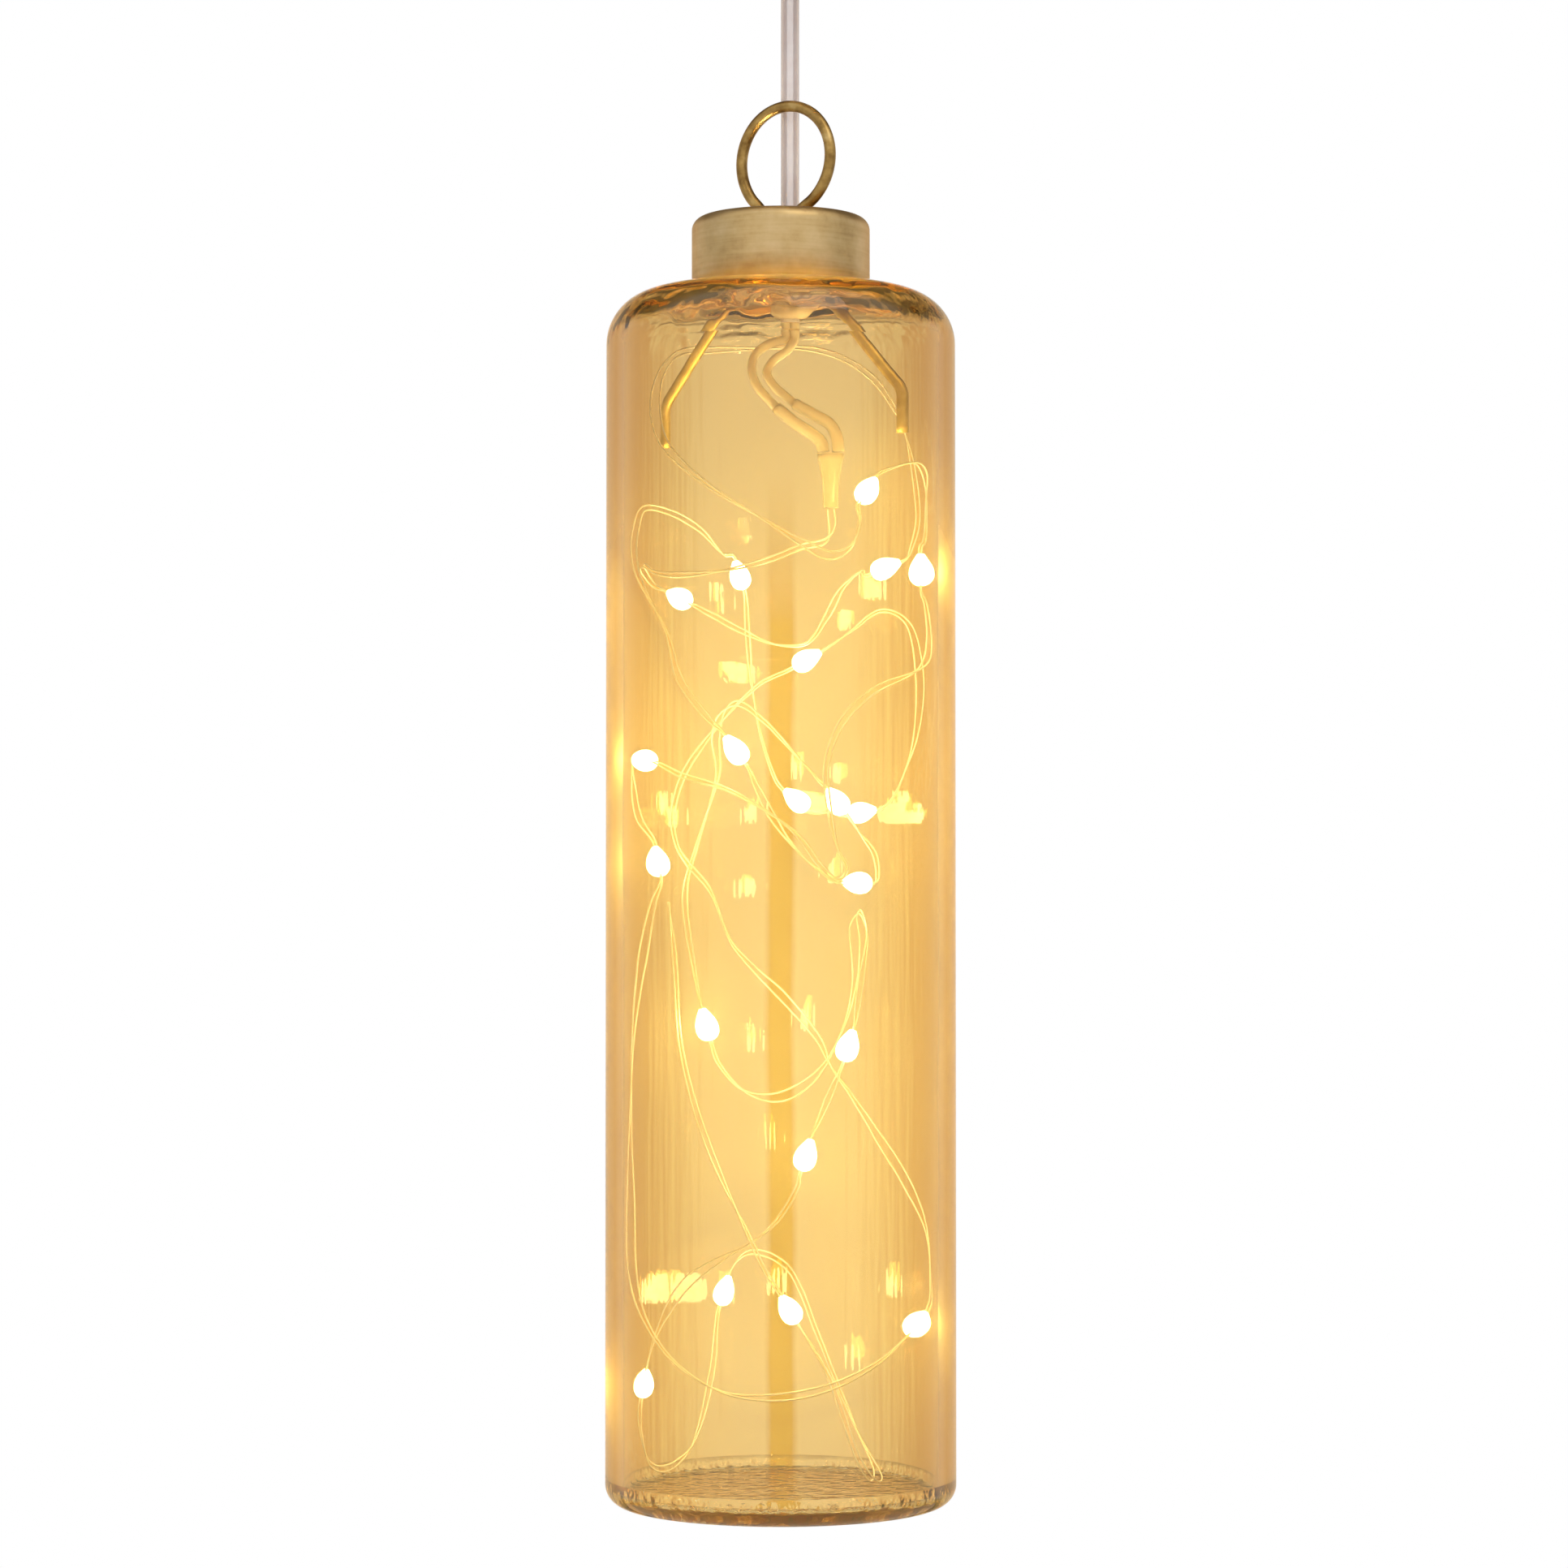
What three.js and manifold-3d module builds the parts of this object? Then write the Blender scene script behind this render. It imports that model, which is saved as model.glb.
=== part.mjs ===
// A hanging light: a tinted glass cylinder under a brass cap, lit from inside by a string of
// resin drops, and hung on its clear twin lead from a small ceiling cup.
// Millimetres, +Z up. The origin is the middle of the face that meets the ceiling.

import * as THREE from 'three';
import { mergeVertices } from 'three/addons/utils/BufferGeometryUtils.js';
import Module from 'manifold-3d';

const wasm = await Module();
wasm.setup();

// Driving sizes

const SEAT = 0.3;               // gap between pieces that touch

const GLASS_DIAMETER = 65;
const GLASS_HEIGHT = 225;       // base to shoulder
const GLASS_WALL = 3.2;
const BASE_THICKNESS = 2.8;
const BASE_ROUND = 4;
const SHOULDER_ROUND = 10;
const NECK_WALL = 2.4;
const NECK_RIM_ROUND = 1;
const NECK_EDGE_ROUND = 0.8;    // the edge inside the shoulder that the prongs carry

const CAP_DIAMETER = 33.2;
const CAP_HEIGHT = 13.6;
const CAP_WALL = 0.8;
const CAP_ROUND = 2.4;
const CAP_FIT = 0.4;            // cap over neck, all round

const WIRE = 2.1;
const RING_RADIUS = 10.3;       // middle of the wire
const RING_MOUTH = 35;          // where the wire leaves the ring, degrees from its foot
const RING_LEAN = 6.5;          // the ring from the upright, in its plane, degrees
const LEG_SLOPE = 50;           // legs from the level, degrees
const PRONG_TO_WALL = 3.8;      // prong's bend from the glass
const PRONG_TIP = 8;            // bent-down end
const PRONG_BEND = 1;           // length that the bend takes from each side
const RING_TURN = -33;          // the ring's plane about the axis, degrees
const RING_OFFSET = 0.8;        // the ring's plane in front of the axis
const LEAD_OFFSET = 3.2;        // the lead behind the axis

const CORE = 1.7;               // one insulated core, so the lead is two of them wide
const CONDUCTOR = 0.5;
const CONDUCTOR_FIT = 0.15;
const FREE_LEAD = 44;           // grip to cap
const LEAD_STUB = 1;            // lead below the glue
const SWING_GAP = 0.4;          // above and below the line that the lead bends at

const PLUG_RADIUS = 4.4;
const PLUG_HEIGHT = 9.5;
const PLUG_DOME = 3.4;

const CORE_SLEEVE = 2.3;
const JOINT_SLEEVE_TOP = 5;
const JOINT_SLEEVE_END = 2.8;
const JOINT_SLEEVE_LENGTH = 10;
const JOINT_SLEEVE_FLATNESS = 0.62;

const STRING_WIDTH = 1.25;      // two fine wires side by side
const STRING_THICKNESS = 0.7;
const DROP_LENGTH = 6;
const DROP_DIAMETER = 4;
const DROP_FIT = 0.5;           // string in its drop, all round
const DROP_MOUTH = 4.2;         // straight string from the drop's middle

const CUP_DIAMETER = 44;
const CUP_HEIGHT = 22;
const CUP_WALL = 0.8;
const CUP_ROUND = 4;

const PLATE_THICKNESS = 1.6;
const PLATE_FIT = 0.5;
const SLOT_LENGTH = 9;
const SLOT_WIDTH = 5;
const SLOT_SPREAD = 12;         // ceiling screw slots from the middle
const EAR_WIDTH = 8;
const EAR_HEIGHT = 11;
const EAR_INSET = 1.2;          // ear behind the cup's wall

const CUP_SCREW = 3;
const CUP_SCREW_HEAD = 5.6;
const CUP_SCREW_HEAD_HEIGHT = 1.8;
const CUP_SCREW_LENGTH = 5.5;
const CUP_SCREW_DEPTH = 6.5;    // screw's line below the ceiling

const GRIP_COLLAR = 14;
const GRIP_LENGTH = 6;
const GRIP_STEM = 10;
const GRIP_STEM_RISE = 7;       // stem inside the cup
const GRIP_MOUTH = 6;
const GRIP_MOUTH_DEPTH = 2.5;
const NUT_FLATS = 15;
const NUT_HEIGHT = 3;

const BLOCK = new THREE.Vector3(17, 8, 9);
const BLOCK_SOCKET = 4;         // lead's depth in the block
const TERMINAL_SCREW = 3.2;
const TERMINAL_SCREW_HEIGHT = 2.6;
const TERMINAL_WELL = 3.4;
const TERMINAL_SPREAD = 8;

const ROUND_SIDES = 40;
const SMALL_SIDES = 16;
const CORD_SIDES = 8;
const ARC_STEPS = 4;
const STRING_STEPS = 420;
const DROP_SIDES = 8;
const RING_STEPS = 24;
const HANGER_STEPS = 120;

// Routes inside the glass, chosen by hand for a space of this bore and height: right, away from
// the viewer, above the glass floor. They spread with the space when the glass changes.
// A stretch of the string ends in a drop, and the last stretch in the string's bare end.

const ROUTE_BORE = 29.3;
const ROUTE_HEIGHT = 219;

const CORE_ROUTES = [
  [[-2.2, 1, 212.6], [-4.8, 0, 210.3], [-5.4, -1.5, 207.4], [-4.2, -2.6, 204], [-1, -3.6, 200.3]],
  [[1.2, 1.6, 211.4], [-1.4, 1, 209.4], [-2.6, -0.2, 206.9], [-1.2, -1.4, 204.4], [2.4, -2.8, 201]],
];
const CORE_SLEEVE_ROUTES = [
  [[2.6, -4.6, 197.2], [5.8, -5, 195], [7.5, -5, 193.4], [7.8, -5, 191.7]],
  [[6, -4, 198.8], [9.1, -4.8, 196.8], [10.4, -5, 194.2], [10.6, -5, 191.7]],
];
const JOINT_SLEEVE_PLACE = [9.2, -5, 191.3];

const STRING_STRETCHES = [
  [[9.2, -5, 181], [9.4, -6.2, 177.5], [8, -12, 174.5], [3.5, -17, 173], [-2, -21, 170.5],
    [-9.5, -22, 168.5], [-17, -18, 168], [-22.5, -9, 169], [-25.5, -1, 171], [-26.5, 5, 170.5],
    [-24.5, 6, 168], [-19, -1, 165]],
  [[-13.5, -4, 162], [-6.5, 0, 158.5], [-0.5, 4, 156.5], [5, 6, 157], [8.5, 5, 161.5],
    [11.5, 2, 167], [15, 0, 170], [19.5, -2, 170.5]],
  [[24.5, 2, 174], [26.5, 7, 180.5], [26, 9.5, 189], [24, 12, 198], [19, 16, 207],
    [13, 20, 212], [5.5, 22, 214.5], [-5.5, 22, 214.5], [-14.5, 17, 213.5], [-19.5, 9, 212],
    [-22.5, 1, 207], [-23, -6, 199.5], [-20.5, -12, 192], [-12.5, -18, 184], [-3.5, -22, 178],
    [3.5, -24, 173.5], [9, -23, 171], [12.5, -21, 173], [14, -19, 178], [15.5, -17, 183.5]],
  [[20, -12, 188], [25, -6, 189.5], [27, -2, 187], [27, -3, 181], [26, -7, 175], [25, -10, 169.5]],
  [[26, -8, 163.5], [27, -6, 157], [25, -11, 151.5], [16, -19, 146.5], [10.5, -23, 140.5],
    [8, -25, 133], [8.5, -25, 125], [10, -24, 118], [11.5, -23, 114.5], [10, -23, 112.5],
    [7, -23.5, 115], [3, -24.5, 120.5], [-3.5, -25.5, 125.5], [-10, -24, 129],
    [-17.5, -18.5, 131.5], [-24.5, -10, 134.5]],
  [[-27.5, -3, 133.5], [-27.8, 0.5, 129.5], [-26, -4, 124], [-22, -11, 116]],
  [[-22.5, -13, 108.5], [-25, -10, 95.5], [-27, -6, 80.5], [-28, -2, 65.5], [-28, -2, 53.5],
    [-27, -6, 41.5], [-24, -12, 32.5], [-18, -19, 25], [-9.5, -24, 20.5], [-0.5, -26, 20],
    [8, -25, 21.5], [17, -20, 25.5], [24, -13, 32]],
  [[27.5, -5, 37], [27.5, 1, 47.5], [24.5, 5, 55], [18.5, 6, 64.5], [13.5, 4, 72], [9, 0, 78.5],
    [7, -3, 83], [0.5, -8, 91], [-5, -13, 96.5], [-9, -16, 101.5], [-12.5, -17, 110.5],
    [-16.5, -15, 115.5], [-19, -8, 119.5], [-20, 0, 125.5], [-18, 5, 133], [-12, 9, 141.5],
    [-4, 10, 149.5], [5, 8, 154]],
  [[13, 6, 159], [19, 6, 163], [24.5, 9, 161], [27, 8, 151.5], [26.5, 9, 141], [24.5, 13, 133.5],
    [21.5, 16, 127.5], [16, 19, 125.5]],
  [[10, 22, 125.5], [3, 23, 128]],
  [[-2.5, 24, 135.5], [-5.5, 22, 148], [-6.5, 19, 160], [-8, 15, 170.5]],
  [[-11, 10, 174], [-15, 5, 178], [-20.5, 1, 181], [-25.5, -2, 181.5], [-27, -3, 177],
    [-26, -9, 170.5], [-23.5, -14, 164.5], [-20, -18, 157.5], [-17.5, -21, 148.5],
    [-12.5, -23, 141.5], [-8, -23, 136]],
  [[-4.5, -21, 130], [-1.5, -20, 124], [1.5, -19.5, 119.5], [7, -18, 114], [13.5, -15, 112]],
  [[17.5, -10, 113.5], [17, -7, 117.5], [14.5, -8, 121], [10, -12, 127]],
  [[7, -14, 130.5], [3, -15, 135], [-3.5, -13, 142], [-8, -9, 145], [-11, -5, 143],
    [-12, -3, 138.5], [-11.5, -4, 133], [-12.5, -6, 128], [-15, -9, 119.5], [-17, -12, 111.5],
    [-17, -14, 107], [-15, -19, 95], [-13, -22, 86.5]],
  [[-11, -20, 79.5], [-6.5, -13, 74], [0, -4, 72.5], [7, 5, 76.5], [12, 10, 85], [14, 9, 93],
    [14, 4, 100], [13.5, -3, 105], [14.5, -9, 106.5], [15.5, -13, 102.5], [14.5, -15, 95],
    [13.5, -16, 88.5], [12, -17, 82.5]],
  [[9.5, -18, 75.5], [6.5, -20, 68.5], [4.5, -21.5, 63]],
  [[3, -23, 57.5], [-0.5, -24, 51.5], [-5, -24, 47.5], [-11, -21, 44], [-17, -15, 39],
    [-22.5, -6, 29.5], [-25.5, 0, 19.5]],
  [[-27, 5, 11], [-25.5, 11, 3], [-22, 16, 1.5], [-17.5, 20, 5], [-13.5, 22, 19], [-11, 21, 34.5]],
  [[-6, 18, 42], [1, 17, 39.5], [7.5, 18, 25.5], [14.5, 17, 9], [18.5, 10, 1.6], [17, 1, 1.4],
    [14, -4, 6.5], [9, -8, 21], [1.5, -14, 34.5]],
  [[-2.5, -16, 41], [-6, -15, 48.5], [-10.5, -14, 58], [-14.5, -16, 69], [-17.5, -19, 82.5],
    [-18.5, -19, 97.5], [-19.5, -20, 108.5]],
];

// Places that follow from the sizes. Heights on the pendant are measured from the cap's top.

const radians = THREE.MathUtils.degToRad;
const legSlope = radians(LEG_SLOPE);
const ringTurn = radians(RING_TURN);
const legSpread = (WIRE + SEAT) / 2;
const legHalf = WIRE / 2 / Math.sin(legSlope);

const glassRadius = GLASS_DIAMETER / 2;
const boreRadius = glassRadius - GLASS_WALL;
const neckRadius = CAP_DIAMETER / 2 - CAP_WALL - CAP_FIT;
const neckBore = neckRadius - NECK_WALL;
const neckRim = -(CAP_WALL + SEAT);
const shoulderTop = -(CAP_HEIGHT + SEAT);
const shoulderUnder = shoulderTop - GLASS_WALL;
const glassBase = shoulderTop - GLASS_HEIGHT;
const glassFloor = glassBase + BASE_THICKNESS;
const prongReach = boreRadius - PRONG_TO_WALL;
const routeSpread = boreRadius / ROUTE_BORE;
const routeStretch = (shoulderUnder - glassFloor) / ROUTE_HEIGHT;

// The prongs lie one seat under the neck's inner edge, which sets how deep the legs cross.
const edgeInPlane = Math.sqrt(neckBore ** 2 - (RING_OFFSET + legSpread) ** 2) + NECK_EDGE_ROUND;
const edgeHeight = shoulderUnder + NECK_EDGE_ROUND;
const edgeGap = WIRE / 2 + SEAT + NECK_EDGE_ROUND;
const legCrossing = edgeHeight + (edgeInPlane * Math.sin(legSlope) - edgeGap) / Math.cos(legSlope);

// The ring is open at its foot, where the wire eases from the ring's slope to the legs'.
const ringMouth = radians(RING_MOUTH);
const ringLean = radians(RING_LEAN);
const mouthReach = RING_RADIUS * Math.sin(ringMouth);
const mouthRise = mouthReach * Math.tan((ringMouth + legSlope) / 2);
const ringHeight = legCrossing + mouthRise + RING_RADIUS * Math.cos(ringMouth);

// The leg under the leaning side of the ring sets the hole in the cap.
const [lowMouthReach, lowMouthHeight] = leaning(mouthReach, legCrossing + mouthRise);
const legAtCap = lowMouthReach * legCrossing / (legCrossing - lowMouthHeight);
const legAtCapHalf = WIRE / 2 / Math.sin(ringMouth - ringLean);
const capHole = Math.hypot(legAtCap + legAtCapHalf, RING_OFFSET + legSpread + WIRE / 2) + SEAT;

// The glue sits up in the fork of the legs.
const plugToLeg = RING_OFFSET + LEAD_OFFSET - legSpread;
const plugFork = Math.sqrt((PLUG_RADIUS + legHalf + SEAT) ** 2 - plugToLeg ** 2);
const plugTop = legCrossing - plugFork * Math.tan(legSlope);
const plugBase = plugTop - PLUG_HEIGHT;
const leadEnd = plugBase - LEAD_STUB;
const leadX = -LEAD_OFFSET * Math.sin(ringTurn);
const leadY = LEAD_OFFSET * Math.cos(ringTurn);

// Heights on the ceiling fitting are measured from the ceiling.
const cupInside = CUP_DIAMETER / 2 - CUP_WALL;
const collarTop = -(CUP_HEIGHT + SEAT);
const gripMouth = collarTop - GRIP_LENGTH;
const stemTop = -CUP_HEIGHT + CUP_WALL + GRIP_STEM_RISE;
const nutBase = -CUP_HEIGHT + CUP_WALL + SEAT;
const earFace = cupInside - EAR_INSET;
const blockTop = -(PLATE_THICKNESS + SEAT);
const blockBase = blockTop - BLOCK.z;
const tailTop = blockBase + BLOCK_SOCKET - SEAT;

// A point of the ring, turned about the legs' crossing.
function leaning(reach, height) {
  const rise = height - legCrossing;
  return [
    reach * Math.cos(ringLean) + rise * Math.sin(ringLean),
    legCrossing + rise * Math.cos(ringLean) - reach * Math.sin(ringLean),
  ];
}

// Shapes

function arc(x, y, radius, from, to) {
  const points = [];
  for (let step = 0; step <= ARC_STEPS; step += 1) {
    const angle = radians(from + (to - from) * step / ARC_STEPS);
    points.push(new THREE.Vector2(x + radius * Math.cos(angle), y + radius * Math.sin(angle)));
  }
  return points;
}

function at(x, y) {
  return new THREE.Vector2(x, y);
}

function turned(profile, sides) {
  return new THREE.LatheGeometry(profile, sides).rotateX(Math.PI / 2);
}

function ring(profile, sides) {
  return turned([...profile, profile[0]], sides);
}

function polygon(radius, sides) {
  const shape = new THREE.Shape();
  for (let side = 0; side < sides; side += 1) {
    const angle = 2 * Math.PI * side / sides;
    const move = side === 0 ? 'moveTo' : 'lineTo';
    shape[move](radius * Math.cos(angle), radius * Math.sin(angle));
  }
  return shape;
}

// A bar with round ends, as wide as two circles side by side.
function stadium(width, thickness) {
  const shape = new THREE.Shape();
  const radius = thickness / 2;
  const middle = width / 2 - radius;
  shape.absarc(middle, 0, radius, -Math.PI / 2, Math.PI / 2);
  shape.absarc(-middle, 0, radius, Math.PI / 2, 3 * Math.PI / 2);
  return shape;
}

function raised(shape, from, to) {
  const geometry = new THREE.ExtrudeGeometry(shape, {
    depth: to - from, bevelEnabled: false, curveSegments: CORD_SIDES,
  });
  return geometry.translate(0, 0, from);
}

function route(points) {
  return new THREE.CatmullRomCurve3(points.map((point) => new THREE.Vector3(...point)));
}

function tube(curve, section, steps) {
  return new THREE.ExtrudeGeometry(section, { extrudePath: curve, steps, bevelEnabled: false });
}

function solid(geometry) {
  geometry.deleteAttribute('normal');
  geometry.deleteAttribute('uv');
  const merged = mergeVertices(geometry);
  return new wasm.Manifold(new wasm.Mesh({
    numProp: 3,
    vertProperties: new Float32Array(merged.attributes.position.array),
    triVerts: new Uint32Array(merged.index.array),
  }));
}

function geometryOf(manifold) {
  const mesh = manifold.getMesh();
  const geometry = new THREE.BufferGeometry();
  geometry.setAttribute('position', new THREE.BufferAttribute(mesh.vertProperties, 3));
  geometry.setIndex(new THREE.BufferAttribute(mesh.triVerts, 1));
  geometry.computeVertexNormals();
  return geometry;
}

function cut(body, ...tools) {
  return geometryOf(tools.reduce((left, tool) => left.subtract(solid(tool)), solid(body)));
}

function piece(name, geometry, color, roughness, metalness) {
  const mesh = new THREE.Mesh(geometry, new THREE.MeshStandardMaterial({ color, roughness, metalness }));
  mesh.name = name;
  return mesh;
}

const brass = (name, geometry) => piece(name, geometry, 0xc8a86e, 0.38, 1);
const wireBrass = (name, geometry) => piece(name, geometry, 0x96641f, 0.35, 1);
const steel = (name, geometry) => piece(name, geometry, 0xb8b8ba, 0.4, 1);
const copper = (name, geometry) => piece(name, geometry, 0xb06a3c, 0.4, 1);
const clearPlastic = (name, geometry) => piece(name, geometry, 0xcdbcb6, 0.25, 0);
const whitePlastic = (name, geometry) => piece(name, geometry, 0xe6e2d8, 0.5, 0);

// Ceiling fitting

function ceilingPlate() {
  const disc = polygon(cupInside - PLATE_FIT, ROUND_SIDES);
  let plate = solid(raised(disc, -PLATE_THICKNESS, 0));
  for (const side of [-1, 1]) {
    const ear = new THREE.BoxGeometry(PLATE_THICKNESS, EAR_WIDTH, EAR_HEIGHT);
    ear.translate(side * (earFace - PLATE_THICKNESS / 2), 0, -EAR_HEIGHT / 2);
    const slot = raised(stadium(SLOT_LENGTH, SLOT_WIDTH), -2 * PLATE_THICKNESS, PLATE_THICKNESS);
    slot.translate(0, side * SLOT_SPREAD, 0);
    plate = plate.add(solid(ear)).subtract(solid(slot));
  }
  return steel('ceiling_plate', geometryOf(plate.subtract(solid(crossHole()))));
}

// The line of both side screws, with clearance.
function crossHole() {
  const hole = new THREE.CylinderGeometry(
    CUP_SCREW / 2 + SEAT, CUP_SCREW / 2 + SEAT, CUP_DIAMETER * 2, SMALL_SIDES);
  return hole.rotateZ(Math.PI / 2).translate(0, 0, -CUP_SCREW_DEPTH);
}

function ceilingCup() {
  const outside = CUP_DIAMETER / 2;
  const hole = GRIP_STEM / 2 + SEAT;
  const bend = outside - CUP_ROUND;
  const profile = [
    at(hole, -CUP_HEIGHT),
    ...arc(bend, -CUP_HEIGHT + CUP_ROUND, CUP_ROUND, -90, 0),
    at(outside, 0),
    at(cupInside, 0),
    ...arc(bend, -CUP_HEIGHT + CUP_ROUND, CUP_ROUND - CUP_WALL, 0, -90),
    at(hole, -CUP_HEIGHT + CUP_WALL),
  ];
  return brass('ceiling_cup', cut(ring(profile, ROUND_SIDES), crossHole()));
}

function cupScrew(name, side) {
  const profile = [
    at(0, -CUP_SCREW_LENGTH),
    at(CUP_SCREW / 2, -CUP_SCREW_LENGTH),
    at(CUP_SCREW / 2, 0),
    at(CUP_SCREW_HEAD / 2, 0),
    at(CUP_SCREW_HEAD / 2, CUP_SCREW_HEAD_HEIGHT / 2),
    at(CUP_SCREW_HEAD / 4, CUP_SCREW_HEAD_HEIGHT),
    at(0, CUP_SCREW_HEAD_HEIGHT),
  ];
  const screw = brass(name, turned(profile, SMALL_SIDES));
  screw.position.set(side * (CUP_DIAMETER / 2 + SEAT), 0, -CUP_SCREW_DEPTH);
  screw.rotation.y = side * Math.PI / 2;
  return screw;
}

function cordGrip() {
  const profile = [
    at(0, gripMouth),
    at(GRIP_COLLAR / 2, gripMouth),
    at(GRIP_COLLAR / 2, collarTop),
    at(GRIP_STEM / 2, collarTop),
    at(GRIP_STEM / 2, stemTop),
    at(0, stemTop),
  ];
  const passage = raised(stadium(2 * CORE + 2 * SEAT, CORE + 2 * SEAT), gripMouth - 1, stemTop + 1);
  const flare = turned([
    at(0, gripMouth - SEAT),
    at(GRIP_MOUTH / 2, gripMouth - SEAT),
    at(CORE / 2, gripMouth + GRIP_MOUTH_DEPTH),
    at(0, gripMouth + GRIP_MOUTH_DEPTH),
  ], SMALL_SIDES);
  return whitePlastic('cord_grip', cut(turned(profile, SMALL_SIDES * 2), passage, flare));
}

function gripNut() {
  const hexagon = polygon(NUT_FLATS / Math.sqrt(3), 6);
  hexagon.holes.push(polygon(GRIP_STEM / 2 + SEAT, SMALL_SIDES * 2));
  return whitePlastic('grip_nut', raised(hexagon, nutBase, nutBase + NUT_HEIGHT));
}

function terminalPlaces() {
  return [-TERMINAL_SPREAD / 2, TERMINAL_SPREAD / 2];
}

function terminalBlock() {
  const box = new THREE.BoxGeometry(BLOCK.x, BLOCK.y, BLOCK.z).translate(0, 0, blockTop - BLOCK.z / 2);
  const socket = raised(
    stadium(2 * CORE + 2 * SEAT, CORE + 2 * SEAT), blockBase - 1, blockBase + BLOCK_SOCKET);
  const wells = terminalPlaces().map((x) => {
    const radius = TERMINAL_SCREW / 2 + SEAT;
    const well = new THREE.CylinderGeometry(radius, radius, 2 * TERMINAL_WELL, SMALL_SIDES);
    return well.translate(x, -BLOCK.y / 2, blockTop - BLOCK.z / 3);
  });
  return whitePlastic('terminal_block', cut(box, socket, ...wells));
}

function terminalScrew(name, x) {
  const radius = TERMINAL_SCREW / 2;
  const screw = new THREE.CylinderGeometry(radius, radius, TERMINAL_SCREW_HEIGHT, SMALL_SIDES);
  const depth = -BLOCK.y / 2 + TERMINAL_WELL - SEAT - TERMINAL_SCREW_HEIGHT / 2;
  return steel(name, screw.translate(x, depth, blockTop - BLOCK.z / 3));
}

function leadTail() {
  const section = stadium(2 * CORE, CORE);
  return clearPlastic('lead_tail', raised(section, gripMouth + SWING_GAP, tailTop));
}

function ceilingFitting() {
  const group = new THREE.Group();
  group.add(ceilingPlate(), ceilingCup(), cupScrew('cup_screw_left', -1), cupScrew('cup_screw_right', 1));
  group.add(cordGrip(), gripNut(), terminalBlock(), leadTail());
  terminalPlaces().forEach((x, index) => group.add(terminalScrew(`terminal_screw_${index + 1}`, x)));
  return group;
}

// Lead, at the middle of its own group, with heights from the cap's top

function conductorPlaces() {
  return [-CORE / 2, CORE / 2];
}

function leadPieces() {
  const top = FREE_LEAD - SWING_GAP;
  const section = stadium(2 * CORE, CORE);
  for (const x of conductorPlaces()) {
    const bore = new THREE.Path();
    bore.absarc(x, 0, CONDUCTOR / 2 + CONDUCTOR_FIT, 0, 2 * Math.PI, true);
    section.holes.push(bore);
  }
  const group = new THREE.Group();
  group.add(clearPlastic('lead', raised(section, leadEnd, top)));
  conductorPlaces().forEach((x, index) => {
    const strand = raised(polygon(CONDUCTOR / 2, CORD_SIDES), leadEnd, top);
    group.add(copper(`lead_conductor_${index + 1}`, strand.translate(x, 0, 0)));
  });
  group.add(gluePlug());
  group.position.set(leadX, leadY, 0);
  return group;
}

function gluePlug() {
  const profile = [
    at(0, plugBase),
    ...arc(PLUG_RADIUS - PLUG_DOME, plugBase + PLUG_DOME, PLUG_DOME, -90, 0),
    at(PLUG_RADIUS, plugTop),
    at(0, plugTop),
  ];
  const passage = raised(stadium(2 * CORE + 2 * SEAT, CORE + 2 * SEAT), plugBase - 1, plugTop + 1);
  return clearPlastic('glue_plug', cut(turned(profile, SMALL_SIDES), passage));
}

// Cap and hanger

function cap() {
  const outside = CAP_DIAMETER / 2;
  const bend = outside - CAP_ROUND;
  const profile = [
    at(outside - CAP_WALL, -CAP_HEIGHT),
    at(outside, -CAP_HEIGHT),
    ...arc(bend, -CAP_ROUND, CAP_ROUND, 0, 90),
    at(capHole, 0),
    at(capHole, -CAP_WALL),
    ...arc(bend, -CAP_ROUND, CAP_ROUND - CAP_WALL, 90, 0),
  ];
  return brass('cap', ring(profile, ROUND_SIDES));
}

// One wire: up from a prong's tip, over the ring and down to the other tip. The legs cross side
// by side, so the ring steps from one side of its plane to the other as it goes round.
function hangerPoints() {
  const bendHeight = legCrossing - prongReach * Math.tan(legSlope);
  const onLeg = (side, lie, reach) => [
    side * (prongReach - reach * Math.cos(legSlope)), lie, bendHeight + reach * Math.sin(legSlope)];
  const prong = (side, lie) => [
    [side * prongReach, lie, bendHeight - PRONG_TIP],
    [side * prongReach, lie, bendHeight - 2 * PRONG_BEND],
    [side * prongReach, lie, bendHeight - PRONG_BEND],
    onLeg(side, lie, PRONG_BEND),
    onLeg(side, lie, 2 * PRONG_BEND),
    [side * prongReach / 2, lie, (bendHeight + legCrossing) / 2],
    [0, lie, legCrossing],
  ];
  const points = prong(-1, -legSpread);
  for (let step = 0; step <= RING_STEPS; step += 1) {
    const share = step / RING_STEPS;
    const angle = ringMouth + share * 2 * (Math.PI - ringMouth);
    const reach = RING_RADIUS * Math.sin(angle);
    const [across, height] = leaning(reach, ringHeight - RING_RADIUS * Math.cos(angle));
    points.push([across, legSpread * (2 * share - 1), height]);
  }
  return [...points, ...prong(1, legSpread).reverse()];
}

function hanger() {
  const wire = tube(route(hangerPoints()), polygon(WIRE / 2, CORD_SIDES), HANGER_STEPS);
  const mesh = wireBrass('hanger', wire);
  mesh.rotation.z = ringTurn;
  mesh.position.set(RING_OFFSET * Math.sin(ringTurn), -RING_OFFSET * Math.cos(ringTurn), 0);
  return mesh;
}

// Glass

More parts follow.
